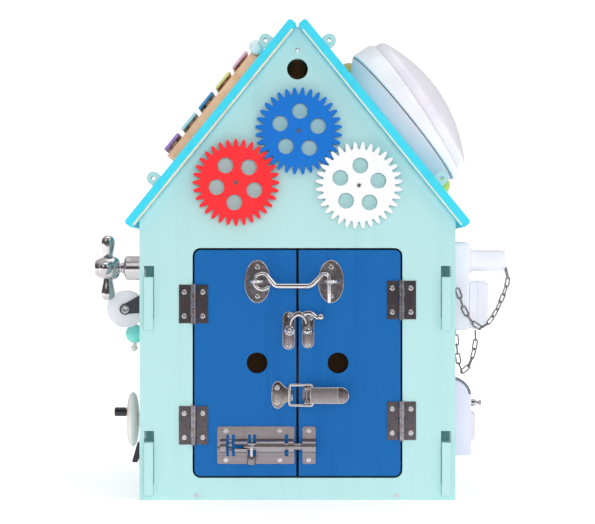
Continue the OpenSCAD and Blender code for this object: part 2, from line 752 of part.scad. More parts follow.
module gear_blue() gear(gear_mid, mid_tooth_a, gear_hole_a[0], blue);
module gear_red() gear(gear_left, mesh_a(gear_left_a), gear_hole_a[1], red);
module gear_white() gear(gear_right, mesh_a(gear_right_a), gear_hole_a[2], white);
// Spacer washer behind each gear and the screw that it turns on
module gear_axles() color(steel) for (g = gear_places) on_front(g[0], g[1]) {
    difference() {
        cylinder(r = 6, h = gear_gap - 0.2);
        translate([0, 0, -1]) cylinder(r = gear_axle_r + 0.15, h = gear_gap + 2);
    }
    translate([0, 0, -ply_t]) cylinder(r = gear_axle_r, h = ply_t + gear_gap + gear_t + 0.5);
    difference() {
        translate([0, 0, gear_gap + gear_t + 0.2])
            cylinder(r1 = screw_head_d / 2, r2 = screw_head_d / 2 - 0.6, h = 1.2);
        for (a = [30, 120]) rotate([0, 0, a])
            translate([-1.6, -0.35, gear_gap + gear_t + 0.8]) cube([3.2, 0.7, 2]);
    }
}

// ---- cabin hook ----
module eye_plate(x, ring_x, places) difference() {
    union() {
        on_front(x, cabin_z) linear_extrude(plate_t) intersection() {
            scale([cabin_plate[0] / cabin_plate[1], 1]) circle(d = cabin_plate[1]);
            square(cabin_plate * 2, center = true);
        }
        translate([ring_x, front_y - eye_out, cabin_z])
            rotate_extrude() translate([eye_r, 0]) circle(eye_wire);
        on_front(ring_x, cabin_z) cylinder(r = 3, h = plate_t + 0.6);
    }
    screw_holes(places);
}
module hook_plate_left() color(chrome)
    eye_plate(cabin_plate_x[0], eye_left_x, cabin_screws(cabin_plate_x[0]));
module hook_plate_right() color(chrome)
    eye_plate(cabin_plate_x[1], eye_right_x, cabin_screws(cabin_plate_x[1]));
// Bent wire hook in the local XY plane, from its end loop to the drop pin
module cabin_hook() color(chrome) on_front(0, cabin_z, eye_out) {
    low = -4.5;
    neck = [cabin_pivot_x, hook_loop_r - 6];
    neck_end = neck + polar(6, 40);
    dip = [neck_end[0] + (neck_end[1] - (low + 6) - 6 * sin(220)) / tan(50) - 6 * cos(220), low + 6];
    crown = [cabin_pin_x - 4.5, 3.1];
    crown_start = crown + polar(4.5, 135);
    rise = [crown_start[0] - (crown_start[1] - (low + 8 + 8 * sin(315))) - 8 * cos(315), low + 8];
    path = concat(
        arc([cabin_pivot_x, 0], hook_loop_r, 323, 90, 20), arc(neck, 6, 84, 40, 4),
        arc(dip, 6, 220, 270, 5), arc(rise, 8, 270, 315, 4), arc(crown, 4.5, 135, 0, 10),
        [[cabin_pin_x, -20.6], [cabin_pin_x, -21.3], [cabin_pin_x, -21.6]]);
    shares = [for (i = [0 : len(path) - 1]) i == 0 || i == len(path) - 1 ? 0.6
        : i == len(path) - 2 ? 0.85 : 1];
    tube([for (q = path) [q[0], q[1], 0]], hook_wire * shares, [0, 0, 1], 16);
}

// ---- swan-neck latch ----
module swan_stud() color(chrome) difference() {
    on_front(swan_stud_x, swan_z) {
        translate([-0.9, 0, 0]) linear_extrude(plate_t)
            middle_rounded(swan_plate[0], swan_plate[1], 3);
        cylinder(r = 4.4, h = 2.4);
        cylinder(r = stud_r, h = 11);
        translate([0, 0, 10.6]) sphere(stud_ball_r);
    }
    screw_holes(swan_left_screws);
}
module swan_base() color(chrome) difference() {
    on_front(swan_pivot_x, swan_z) {
        translate([1, -0.6, 0]) linear_extrude(plate_t)
            middle_rounded(swan_plate[0], swan_plate[1] - 4, 3);
        cylinder(r = 4, h = swan_out - 0.3);
        cylinder(r = 2, h = swan_out + swan_t + 0.4);
        translate([0, 0, swan_out + swan_t + 0.3]) cylinder(r1 = 3.4, r2 = 2.6, h = 1.2);
    }
    screw_holes(swan_right_screws);
}
module swan_lever() color(chrome) on_front(0, swan_z, swan_out) difference() {
    arch_r = (swan_pivot_x - swan_stud_x) / 2;
    arch_x = (swan_pivot_x + swan_stud_x) / 2;
    union() {
        translate([swan_pivot_x, 0, 0]) cylinder(r = 4.6, h = swan_t);
        translate([swan_pivot_x - 2, 0, 0]) cube([4, 8, swan_t]);
        translate([arch_x, 8, 0]) arc_ring(arch_r, 4, swan_t, 0, 180);
        translate([swan_stud_x - 2, 4, 0]) cube([4, 4.02, swan_t]);
        translate([swan_stud_x, 0, 0]) arc_ring(stud_r + 2, 2.8, swan_t, 0, 180);
        rod([arch_x + 5.2, 14.6, swan_t / 2], [swan_pivot_x + 13.5, 14.6, swan_t / 2], 1.4);
        translate([swan_pivot_x + 13.9, 14.6, swan_t / 2]) sphere(2.9);
    }
    translate([swan_pivot_x, 0, -1]) cylinder(r = 2 + run_gap, h = swan_t + 2);
    translate([swan_stud_x, 0, -1]) cylinder(r = stud_r + 0.6, h = swan_t + 2);
}

// ---- toggle latch ----
module toggle_catch() color(chrome) difference() {
    union() {
        on_front(0, toggle_z) linear_extrude(plate_t) polygon([
            [catch_x[0], -13.3], [catch_x[0] + 7.5, -14.4], [catch_x[1], -6.6], [catch_x[1], 6.6],
            [catch_x[0] + 7.5, 14.4], [catch_x[0], 13.3]]);
        on_front(catch_x[1] - 1, toggle_z - 5.5) cube([-4.8 - catch_x[1] + 1, 11, plate_t]);
        on_front(-6, toggle_z - 5.5) cube([plate_t, 11, 5.4]);
    }
    screw_holes(catch_screws);
}
module toggle_base() color(steel) {
    difference() {
        union() {
            on_front(toggle_pivot_x - 4.5, toggle_z - toggle_inner) cube([25, 2 * toggle_inner, plate_t]);
            for (k = [-1, 1]) on_front(toggle_pivot_x, toggle_z + k * (toggle_inner - 0.6) - 0.6) {
                translate([-3, 0, 0]) cube([6, 1.2, toggle_pivot_out]);
                translate([0, 0, toggle_pivot_out]) rotate([-90, 0, 0]) cylinder(r = 3, h = 1.2);
            }
        }
        translate([toggle_pivot_x, front_y - toggle_pivot_out, toggle_z - 20])
            cylinder(r = 1.2 + run_gap, h = 40);
        screw_holes([[toggle_base_screw_x, toggle_z]]);
    }
    translate([toggle_pivot_x, front_y - toggle_pivot_out, toggle_z - toggle_side])
        cylinder(r = 1.2, h = toggle_w);
}
module toggle_lever() color(chrome) difference() {
    r = 4.2;
    top = toggle_pivot_out + r;
    union() {
        on_front(toggle_pivot_x, toggle_z - toggle_side) {
            translate([0, 0, toggle_pivot_out]) rotate([-90, 0, 0])
                cylinder(r = r, h = toggle_w);
            translate([0, 0, toggle_pivot_out - 3.4]) cube([27, toggle_w, r + 3.4]);
            translate([26, 1, top - 1.6]) cube([toggle_l - 29, toggle_w - 2, 1.6]);
            translate([toggle_l - 8.5, toggle_side, top - 1.6])
                cylinder(r = toggle_side - 0.5, h = 2.6);
        }
    }
    on_front(toggle_pivot_x - 8, toggle_z - toggle_side + 1.4, -1)
        cube([33.8, toggle_w - 2.8, top]);
    on_front(toggle_pivot_x - 8, toggle_z - toggle_side + 1.4, -1)
        cube([6.8, toggle_w - 2.8, top + 2]);
    translate([toggle_pivot_x, front_y - toggle_pivot_out, toggle_z - 20])
        cylinder(r = 1.2 + run_gap, h = 40);
    translate([loop_pivot_x, front_y - loop_pivot_out, toggle_z - 20])
        cylinder(r = loop_wire + run_gap, h = 40);
}
// One bent wire: from one side of the lever, round under the catch and back to the other side
module toggle_loop() color(chrome) on_front(0, toggle_z) {
    r = loop_wire + 0.4;
    ends = [loop_pivot_x - r, loop_bar_x + r];
    flat_path = concat([[loop_pivot_x, 2.6 - toggle_side], [loop_pivot_x, 2.4 - toggle_side]],
        arc([ends[0], r - loop_half], r, 0, -90, 5), arc([ends[1], r - loop_half], r, 270, 180, 5),
        arc([ends[1], loop_half - r], r, 180, 90, 5), arc([ends[0], loop_half - r], r, 90, 0, 5),
        [[loop_pivot_x, toggle_side - 2.4], [loop_pivot_x, toggle_side - 2.6]]);
    last = len(flat_path) - 1;
    tube([for (q = flat_path) [q[0], q[1], loop_pivot_out + (loop_bar_out - loop_pivot_out)
        * (loop_pivot_x - q[0]) / (loop_pivot_x - loop_bar_x)]],
        [for (i = [0 : last]) loop_wire * (i == 0 || i == last ? 0.85 : 1)], [0, 0, 1], 16);
}

// ---- barrel bolt ----
// Housing profile to the right of x0, with its bore
module bolt_cover(x0, x1) difference() {
    translate([x0, front_y, bolt_z]) rotate([0, 90, 0]) rotate([0, 0, 0]) linear_extrude(x1 - x0)
        union() {
            translate([0, -bolt_out]) circle(barrel_r);
            translate([-barrel_r, -bolt_out]) square([2 * barrel_r, bolt_out]);
        }
    translate([x0 - 1, front_y - bolt_out, bolt_z]) rotate([0, 90, 0])
        cylinder(r = barrel_bore, h = x1 - x0 + 2);
    translate([x0 - 1, front_y, bolt_z - 2 * barrel_r]) cube([x1 - x0 + 2, barrel_r, 4 * barrel_r]);
}
module bolt_housing() color(chrome) difference() {
    union() {
        on_front(bolt_plate_x[0], bolt_z + 0.9 - bolt_plate_h / 2) linear_extrude(plate_t)
            rounded(bolt_plate_x[1] - bolt_plate_x[0], bolt_plate_h, 2);
        bolt_cover(bolt_plate_x[0] + 3, bolt_plate_x[1] - 0.5);
    }
    for (x = notch_x) on_front(x - bolt_notch_w / 2, bolt_z - big / 50, bolt_out - 1)
        cube([bolt_notch_w, big / 25, 20]);
    on_front(notch_x[0], bolt_z - 2.1, bolt_out - 1) cube([bolt_travel, 4.2, 20]);
    on_front(bolt_plate_x[1] - 9.4, bolt_z - big / 50, bolt_out - 3) cube([3, big / 25, 20]);
    translate([bolt_plate_x[0] - 1, front_y - bolt_out, bolt_z]) rotate([0, 90, 0])
        cylinder(r = barrel_bore, h = 100);
    screw_holes(bolt_screws);
}
module bolt_rod() color(chrome) translate([0, front_y - bolt_out, bolt_z]) rotate([0, 90, 0]) {
    rotate_extrude() polygon([[0, notch_x[0] - 1.3], [bolt_r, notch_x[0] - 1.3],
        [bolt_r, bolt_stem_x - collar_l / 2], [groove_r, bolt_stem_x - collar_l / 2],
        [groove_r, bolt_stem_x + collar_l / 2], [bolt_r, bolt_stem_x + collar_l / 2],
        [bolt_r, strike_x[0] + 8], [bolt_r - 1, strike_x[0] + 9.2], [0, strike_x[0] + 9.2]]);
}
module bolt_handle() color(chrome) on_front(bolt_stem_x, bolt_z, bolt_out) {
    difference() {
        rotate([0, 90, 0]) translate([0, 0, -collar_l / 2 + run_gap])
            cylinder(r = bolt_r, h = collar_l - 2 * run_gap);
        rotate([0, 90, 0]) translate([0, 0, -collar_l])
            cylinder(r = groove_r + run_gap, h = 2 * collar_l);
    }
    difference() {
        union() {
            wire([[0, 0, groove_r], [0, 0, 9.2], [0, -11, 8.8]], 1.6);
            translate([0, -13.4, 8.4]) sphere(4);
        }
        rotate([0, 90, 0]) translate([0, 0, -collar_l])
            cylinder(r = groove_r + run_gap, h = 2 * collar_l);
    }
}
module bolt_strike() color(chrome) difference() {
    union() {
        on_front(strike_x[0], bolt_z + 0.9 - bolt_plate_h / 2) linear_extrude(plate_t)
            rounded(strike_x[1] - strike_x[0], bolt_plate_h, 2);
        bolt_cover(strike_x[0], strike_x[1]);
    }
    translate([strike_x[0] - 1, front_y - bolt_out, bolt_z]) rotate([0, 90, 0])
        cylinder(r = barrel_bore, h = 30);
    screw_holes(strike_screws);
}

// ---- left wall ----
module tap_body() color(chrome) on_left(tap_at) rotate_extrude() polygon([[0, 0], [tap_r + 3, 0],
    [tap_r + 3, 1.4], [tap_r + 0.4, 3.4], [tap_r, 5], [tap_r, 17], [tap_r - 1.4, 22],
    [tap_r - 5, 26], [5.4, 27.4], [4.6, tap_neck_l], [2.6, tap_neck_l], [2.6, tap_neck_l + 18],
    [0, tap_neck_l + 18]]);
module tap_handle() color(chrome) on_left(tap_at, tap_neck_l + 0.5) difference() {
    arm_h = 12;
    union() {
        rotate_extrude() polygon([[0, 0], [6, 0], [7.4, 4], [7.4, 17], [6.4, 19.4], [6, 22],
            [3.6, 24.6], [0, 25]]);
        for (a = [0 : 90 : 270]) rotate([0, 0, a]) translate([0, 0, arm_h]) rotate([0, 90, 0]) {
            translate([0, 0, 5]) cylinder(r1 = 3.6, r2 = tap_arm_r, h = 10);
            translate([0, 0, 15 - eps]) cylinder(r = tap_arm_r, h = tap_span_r - tap_arm_r - 15);
            translate([0, 0, tap_span_r - tap_arm_r]) sphere(tap_arm_r);
        }
    }
    translate([0, 0, -1]) cylinder(r = 2.6 + run_gap, h = 20);
}
module caster_plate() color(steel) on_left(caster_at) {
    linear_extrude(2) middle_rounded(34, 30, 3);
    translate([0, 0, 2 - eps]) cylinder(r = 9, h = 3.4);
    cylinder(r = 2.4, h = 8.2);
}
// The fork hangs below the swivel, with the axle caster_trail lower
module caster_fork() color(steel) on_left(caster_at) {
    difference() {
        union() {
            translate([0, 0, 5.8]) cylinder(r = 11, h = 1.8);
            translate([-9, -caster_fork_w / 2 - caster_arm_t, 5.8])
                cube([18, caster_fork_w + 2 * caster_arm_t, 1.8]);
            for (m = [0, 1]) mirror([0, m, 0]) translate([0, caster_fork_w / 2 + caster_arm_t, 0])
                rotate([90, 0, 0]) linear_extrude(caster_arm_t) {
                    polygon([[-11, 5.8], [10, 5.8], [10, 10], [-caster_trail + 5.4, caster_h + 1],
                        [-caster_trail - 5.2, caster_h + 1.6]]);
                    translate([-caster_trail, caster_h]) circle(6);
                }
        }
        translate([0, 0, 1]) cylinder(r = 2.4 + run_gap, h = 9);
        translate([-caster_trail, 0, caster_h]) rotate([90, 0, 0])
            cylinder(r = caster_axle_r + 0.1, h = 60, center = true);
    }
    translate([-caster_trail, 0, caster_h]) rotate([90, 0, 0]) {
        cylinder(r = caster_axle_r, h = caster_fork_w + 2 * caster_arm_t + 1, center = true);
        for (m = [0, 1]) mirror([0, 0, m])
            translate([0, 0, caster_fork_w / 2 + caster_arm_t + 0.1]) difference() {
                cylinder(r = caster_axle_r + 1.4, h = 1.6);
                for (a = [25, 115]) rotate([0, 0, a]) translate([-2.6, -0.5, 0.8])
                    cube([5.2, 1, 2]);
            }
    }
}
module caster_wheel() color(white) on_left(caster_at) translate([-caster_trail, 0, caster_h])
    rotate([90, 0, 0]) difference() {
        union() {
            cylinder(r = caster_r, h = caster_w - 3, center = true);
            cylinder(r = caster_r - 1.5, h = caster_w, center = true);
        }
        cylinder(r = caster_axle_r + run_gap, h = 40, center = true);
    }
module crank_hub() color(steel) on_left(crank_at) {
    cylinder(r = 11, h = 2);
    cylinder(r = 7, h = crank_off - 0.4);
    cylinder(r = 3, h = crank_off + crank_t - 1);
}
module crank_wheel() color(white) on_left(crank_at, crank_off) difference() {
    rotate_extrude() polygon([[0, 0], [crank_r - 9, 0], [crank_r - 3.6, 1.4], [crank_r - 1, 3.4],
        [crank_r, crank_t / 2], [crank_r - 1, crank_t - 3.4], [crank_r - 3.6, crank_t - 1.4],
        [crank_r - 9, crank_t], [0, crank_t]]);
    translate([0, 0, -1]) cylinder(r = 3 + run_gap, h = crank_t);
    translate([crank_knob_at[1], crank_knob_at[0], crank_t - 7]) cylinder(r = 2.2, h = 10);
}
module crank_knob() color("#242426") on_left(crank_at, crank_off + crank_t)
    translate([crank_knob_at[1], crank_knob_at[0], 0]) {
        translate([0, 0, -6]) cylinder(r = 2, h = 7);
        translate([0, 0, 0.3]) cylinder(r = crank_knob_r, h = crank_knob_l - 0.8);
        translate([0, 0, crank_knob_l - 0.8]) cylinder(r1 = crank_knob_r, r2 = crank_knob_r - 0.8, h = 0.8);
    }
module switch_box() color("#2e3034") on_left(switch_at) difference() {
    linear_extrude(switch_size[2]) middle_rounded(switch_size[0], switch_size[1], 2);
    translate([-rocker_l / 2 - rocker_gap, -rocker_w / 2 - rocker_gap, 2])
        cube([rocker_l + 2 * rocker_gap, rocker_w + 2 * rocker_gap, 10]);
}
module switch_rocker() color("#2e3034") on_left(switch_at) translate([0, rocker_w / 2, 0])
    rotate([90, 0, 0]) linear_extrude(rocker_w) {
        polygon([[rocker_l / 2 - 0.6, 7.8], [rocker_l / 2 - 0.6, 9.2], [-rocker_l / 2 + 1.6, 14.6],
            [-rocker_l / 2 + 0.6, 13.8], [-rocker_l / 2 + 0.6, 9.4], [0, 5]]);
        translate([0, 6]) circle(3.4);
    }
// Cord with a knot at each end: rings swept along the route
module pull_cord() color(white)
    tube(cord_route, [for (k = cord_swell) cord_r + k * (knot_r - cord_r)], [0, 1, 0], 8);
module cord_bead() color("#1fb5a4") translate([bead_at[0], bead_at[1], bead_z]) difference() {
    sphere(bead_r);
    cylinder(r = bead_bore_r, h = 40, center = true);
}

// ---- right wall ----
module socket_box() color(white) difference() {
    mid = (socket_z[0] + socket_z[1]) / 2;
    on_right([socket_y, mid]) {
        linear_extrude(socket_size[1] - 3) middle_rounded(socket_z[1] - socket_z[0], socket_size[0], 4);
        translate([0, 0, socket_size[1] - 3 - eps]) linear_extrude(3)
            middle_rounded(socket_z[1] - socket_z[0] - 3, socket_size[0] - 3, 4);
    }
    for (z = [plug_up_z, (plug_low_z[0] + plug_low_z[1]) / 2], k = [-1, 1])
        on_right([socket_y + k * plug_pin_pitch / 2, z], socket_size[1] - plug_pin_l - 1)
            cylinder(r = plug_pin_r + 0.4, h = plug_pin_l + 5);
}
module plug_pins() for (k = [-1, 1]) translate([0, k * plug_pin_pitch / 2, -plug_pin_l + 0.5])
    cylinder(r = plug_pin_r, h = plug_pin_l + 1);
module plug_upper() color(white) on_right([socket_y, plug_up_z], socket_size[1] + 0.5) {
    plug_pins();
    rotate_extrude() polygon([[0, 0], [plug_up[0] + 2.4, 0], [plug_up[0] + 2.4, 2], [plug_up[0], 3],
        [plug_up[0], plug_up[1] - 6], [plug_up[0] - 1, plug_up[1]], [0, plug_up[1]]]);
    translate([-plug_up[0] + 3, 0, plug_up[1] + 0.6]) rotate([90, 0, 0])
        rotate_extrude() translate([2.2, 0]) circle(0.8);
}
module plug_lower() color(white) {
    h = plug_low_z[1] - plug_low_z[0];
    on_right([socket_y, (plug_low_z[0] + plug_low_z[1]) / 2], socket_size[1] + 0.5) {
        plug_pins();
        linear_extrude(7.6) middle_rounded(h, plug_low[0], 5);
        translate([0, 0, 7.6 - eps]) linear_extrude(0.8) middle_rounded(h - 1.6, plug_low[0] - 1.6, 4.4);
        translate([0, 0, 8.4 - 2 * eps]) linear_extrude(plug_low[1] - 11) middle_rounded(h, plug_low[0], 5);
        translate([0, 0, plug_low[1] - 2.6 - 3 * eps]) linear_extrude(2.6)
            middle_rounded(h - 4, plug_low[0] - 4, 4);
        translate([-h / 2 + 0.4, -plug_low[0] / 2 - 1.6, 5]) rotate([0, 90, 0]) {
            rotate_extrude() translate([2.2, 0]) circle(0.8);
            translate([0, 2.2, 0]) cylinder(r = 0.75, h = 8);
        }
    }
}
module link() rotate([90, 0, 0]) {
    half = link_l / 2 - link_w / 2;
    bow = link_w / 2 - link_wire;
    for (m = [0, 1]) mirror([0, m, 0]) translate([0, half, 0])
        rotate_extrude(angle = 180) translate([bow, 0]) circle(link_wire, $fn = 24);
    for (k = [-1, 1]) translate([k * bow, half, 0]) rotate([90, 0, 0])
        cylinder(r = link_wire, h = 2 * half, $fn = 24);
}
module chain(p) {
    step = link_l - 4 * link_wire - 0.3;
    total = run(p, len(p) - 1);
    count = floor(total / step);
    for (i = [0 : count - 1]) {
        a = along(p, i * step);
        b = along(p, (i + 1) * step);
        v = b - a;
        translate((a + b) / 2) rotate([0, acos(v[2] / norm(v)), atan2(v[1], v[0])])
            rotate([0, 0, i % 2 == 0 ? 0 : 90]) link();
    }
}
// Screw eye in the right wall that holds a chain's end
module chain_eye(at) translate([wall_x, at[1], at[2]]) {
    rotate([0, 90, 0]) cylinder(r = 1, h = 5);
    rotate([0, 90, 0]) cylinder(r = 3.4, h = 0.8);
    translate([6.4, 0, 0]) rotate([90, 0, 0]) rotate_extrude() translate([2.2, 0]) circle(0.8);
}
module chain_upper() color(chrome) {
    chain(chain_a_route);
    chain_eye(chain_a_route[len(chain_a_route) - 1]);
}
module chain_lower() color(chrome) {
    chain(chain_b_route);
    chain_eye(chain_b_route[len(chain_b_route) - 1]);
}
module button_box() color(white) difference() {
    h = box_z[1] - box_z[0];
    on_right([box_y, box_mid_z]) translate([0, box_w / 2, 0]) rotate([90, 0, 0])
        linear_extrude(box_w) {
            translate([-h / 2, 0]) square([h - box_round, box_t - 3]);
            translate([-h / 2 + 3, 0]) square([h - box_round - 3, box_t]);
            translate([-h / 2 + 3, box_t - 3]) circle(3);
            translate([h / 2 - box_round, 0]) square([box_round, box_t - box_round]);
            intersection() {
                translate([h / 2 - box_round, box_t - box_round]) circle(box_round);
                square([h, 3 * box_t]);
            }
        }
    on_right([box_y, (button_z[0] + button_z[1]) / 2], box_t - 8) linear_extrude(20)
        middle_rounded(button_z[1] - button_z[0], box_w - 16, 3);
    on_right([box_y, knob_z], box_t - 9) cylinder(r = 1.6 + run_gap, h = 20);
}
module box_button() color(white) on_right([box_y, (button_z[0] + button_z[1]) / 2]) {
    h = button_z[1] - button_z[0] - 1;
    translate([0, 0, box_t - 8 + button_travel + 0.5])
        linear_extrude(8 - button_travel + button_out - 2) middle_rounded(h, box_w - 17, 3);
    translate([0, 0, box_t + button_out - 1.5 - eps]) linear_extrude(1.5)
        middle_rounded(h - 3, box_w - 20, 3);
}
module box_knob() color(chrome) on_right([box_y, knob_z], box_t) rotate_extrude() polygon([
    [0, -8], [1.6, -8], [1.6, 0.6], [knob_r - 0.6, 0.6], [knob_r, 2], [knob_r, 5.4],
    [knob_r - 1, 7], [1.9, 7.8], [1.9, 9], [knob_r - 0.9, 11], [knob_r - 0.6, 12], [0, 12.4]]);

// ---- right roof ----
module tilted() translate([0, 0, lamp_base_h]) rotate([0, lamp_tilt, 0])
    translate([0, 0, rim_h]) children();
module lamp_base() color(white) on_right_roof(lamp_at[0], lamp_at[1]) {
    rotate_extrude() polygon([[lamp_foot_r, 0], [lamp_foot_r + 3, 2.6], [lamp_r - 2, lamp_base_h - 2],
        [lamp_r - 0.4, lamp_base_h - 0.4], [lamp_r - 1.6, lamp_base_h],
        [lamp_r - 1.6, lamp_base_h + 0.7], [0, lamp_base_h + 0.7], [0, lamp_base_h - lamp_wall],
        [lamp_r - 4 - lamp_wall, lamp_base_h - lamp_wall], [lamp_foot_r - lamp_wall, 3],
        [lamp_foot_r - lamp_wall, 0]]);
    difference() {
        tilted() difference() {
            translate([0, 0, -rim_h - 12]) {
                cylinder(r = lamp_r, h = rim_h + 8);
                translate([0, 0, rim_h + 8 - eps])
                    cylinder(r1 = lamp_r, r2 = lens_r + lens_gap + 0.6, h = 4);
            }
            translate([0, 0, -rim_h - 20])
                cylinder(r = lens_r + lens_gap, h = rim_h + 40);
        }
        translate([-big / 2, -big / 2, -big]) cube([big, big, big + lamp_base_h + 0.6]);
    }
}
module lamp_lens() color(white) on_right_roof(lamp_at[0], lamp_at[1]) tilted() {
    difference() {
        translate([0, 0, -3]) cylinder(r = lens_r, h = lens_edge_h + 3);
        translate([0, 0, -4]) cylinder(r = lens_r - lamp_wall, h = lens_edge_h + 5);
    }
    translate([0, 0, lens_edge_h - eps]) rotate_extrude() intersection() {
        translate([0, lens_rise - lens_sphere_r]) difference() {
            circle(lens_sphere_r);
            circle(lens_sphere_r - lamp_wall);
        }
        square([lens_r, 2 * lens_rise]);
    }
}
module bead_rail() color(wood) {
    for (s = rail_s) on_right_roof(s, rail_y) {
        cylinder(r = 4, h = rail_h);
        translate([0, 0, rail_h]) sphere(rail_ball_r);
    }
    on_right_roof(rail_s[0], rail_y, rail_h) rotate([0, 90, 0])
        cylinder(r = rail_r, h = rail_s[1] - rail_s[0]);
}
module rail_beads() color(red) for (i = [0 : rail_beads_n - 1])
    on_right_roof(rail_s[1] - rail_ball_r - rail_bead_r - 0.2 - i * rail_step, rail_y, rail_h)
        rotate([0, 90, 0]) difference() {
            intersection() {
                sphere(rail_bead_r);
                cylinder(r = rail_bead_r, h = 2 * rail_bead_r - 0.6, center = true);
            }
            cylinder(r = rail_r + 0.5, h = 4 * rail_bead_r, center = true);
        }

// ---- left roof ----
function key_mid(i) = key_s0 + i * key_pitch;
function key_len(i) = key_l[0] + (key_l[1] - key_l[0]) * i / 4;
key_y = xylo_y[0] + xylo_y[1] / 2;
module xylo_base() color(wood) {
    on_left_roof((xylo_s[0] + xylo_s[1]) / 2, key_y) linear_extrude(xylo_t)
        middle_rounded(xylo_s[1] - xylo_s[0], xylo_y[1], 3);
    for (y = [mallet_y + 40, mallet_y + mallet_l - 30]) on_left_roof(mallet_s, y) difference() {
        translate([-mallet_r - 2, -4, 0]) cube([2 * mallet_r + 4, 8, mallet_h + 1.5]);
        translate([0, -5, mallet_h]) rotate([-90, 0, 0]) cylinder(r = mallet_r + 0.3, h = 10);
        translate([-mallet_r - 0.3, -5, mallet_h]) cube([2 * mallet_r + 0.6, 10, 10]);
    }
}
module xylo_keys() for (i = [0 : 4]) {
    l = key_len(i);
    on_left_roof(key_mid(i), key_y, xylo_t) {
        color(["#ff5fa8", "#ffd21f", "#2f7fe0", "#5cc8f0", "#8a54c8"][i])
            translate([0, 0, key_lift]) linear_extrude(key_t) difference() {
                middle_rounded(key_w, l, 2);
                for (k = [-1, 1]) translate([0, k * (l / 2 - 16)]) circle(1.7);
            }
        for (k = [-1, 1]) translate([0, k * (l / 2 - 16), 0]) {
            color(white) difference() {
                translate([0, 0, 0.05]) cylinder(r = 4.2, h = key_lift - 0.1);
                cylinder(r = 1.7, h = 10);
            }
            color(chrome) {
                translate([0, 0, 0.05]) cylinder(r = 1.4, h = key_lift + key_t);
                translate([0, 0, key_lift + key_t + 0.05]) cylinder(r1 = 2.6, r2 = 1.8, h = 1);
            }
        }
    }
}
module mallet() color("#bfe6dc") on_left_roof(mallet_s, mallet_y, mallet_h) {
    sphere(mallet_ball_r);
    rotate([-90, 0, 0]) cylinder(r = mallet_r, h = mallet_l);
}

front_panel();
back_panel();
left_wall();
right_wall();
floor_board();
roof_left();
roof_right();
frame_screws();
hinge_frames();
left_door();
right_door();
left_hinge_leaves();
right_hinge_leaves();
left_door_screws();
right_door_screws();
gear_blue();
gear_red();
gear_white();
gear_axles();
hook_plate_left();
hook_plate_right();
cabin_hook();
swan_stud();
swan_base();
swan_lever();
toggle_catch();
toggle_base();
toggle_lever();
toggle_loop();
bolt_housing();
bolt_rod();
bolt_handle();
bolt_strike();
tap_body();
tap_handle();
caster_plate();
caster_fork();
caster_wheel();
crank_hub();
crank_wheel();
crank_knob();
switch_box();
switch_rocker();
pull_cord();
cord_bead();
socket_box();
plug_upper();
plug_lower();
chain_upper();
chain_lower();
button_box();
box_button();
box_knob();
lamp_base();
lamp_lens();
bead_rail();
rail_beads();
xylo_base();
xylo_keys();
mallet();
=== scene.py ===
import json
import math
import bpy
import bmesh
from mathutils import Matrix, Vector


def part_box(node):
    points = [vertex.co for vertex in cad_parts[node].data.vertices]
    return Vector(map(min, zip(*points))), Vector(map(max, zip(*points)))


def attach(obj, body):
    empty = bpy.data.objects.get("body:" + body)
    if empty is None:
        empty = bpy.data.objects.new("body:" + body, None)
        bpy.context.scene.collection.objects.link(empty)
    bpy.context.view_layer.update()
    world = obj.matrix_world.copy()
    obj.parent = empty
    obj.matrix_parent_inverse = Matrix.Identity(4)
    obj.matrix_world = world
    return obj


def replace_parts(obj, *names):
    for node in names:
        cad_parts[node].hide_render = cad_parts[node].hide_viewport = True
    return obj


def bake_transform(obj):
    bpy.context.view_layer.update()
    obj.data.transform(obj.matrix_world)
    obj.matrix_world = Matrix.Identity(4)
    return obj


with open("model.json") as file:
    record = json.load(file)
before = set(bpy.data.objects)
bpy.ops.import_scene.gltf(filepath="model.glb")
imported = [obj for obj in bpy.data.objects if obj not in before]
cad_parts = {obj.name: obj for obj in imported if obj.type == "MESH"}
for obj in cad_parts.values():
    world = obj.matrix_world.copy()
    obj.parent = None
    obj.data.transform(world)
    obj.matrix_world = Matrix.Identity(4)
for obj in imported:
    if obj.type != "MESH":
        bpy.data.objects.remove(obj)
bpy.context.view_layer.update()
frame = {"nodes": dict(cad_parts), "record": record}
nodes = frame["nodes"]

# ---- places that several pieces share, in millimetres ----

# Pitch of both roof boards, height of the ridge and how far the boards' outer faces stand over its lines
ROOF_PITCH = math.radians(50.9)
RIDGE_Z = 474
ROOF_FACE = 10
# Outer faces of the side walls, of the front panel with its doors, and of the plates on the doors
WALL_OUTSIDE = 153
DOOR_FACE = -150
PLATE_FACE = -151.2
# Heights of the cabin hook, the swan-neck latch, the toggle latch and the barrel bolt
CABIN_Z = 218.5
SWAN_Z = 169.4
TOGGLE_Z = 105
BOLT_Z = 54


def add_object(name, data):
    """A new object in the scene for a mesh, a light or a camera."""
    made = bpy.data.objects.new(name, data)
    bpy.context.scene.collection.objects.link(made)
    return made


# ---- camera ----

CAMERA_PLACE = (0.0, -2.15, 0.238)
CAMERA_LENS = 121.0
CAMERA_SENSOR = 36.0
CAMERA_REACH = 30.0


def add_camera():
    """Level camera in front of the doors."""
    data = bpy.data.cameras.new("camera")
    data.lens = CAMERA_LENS
    data.sensor_width = CAMERA_SENSOR
    data.clip_end = CAMERA_REACH
    camera = add_object("camera", data)
    camera.location = CAMERA_PLACE
    camera.rotation_euler = (math.radians(90), 0, 0)
    bpy.context.scene.camera = camera


add_camera()


# ---- shader building blocks ----

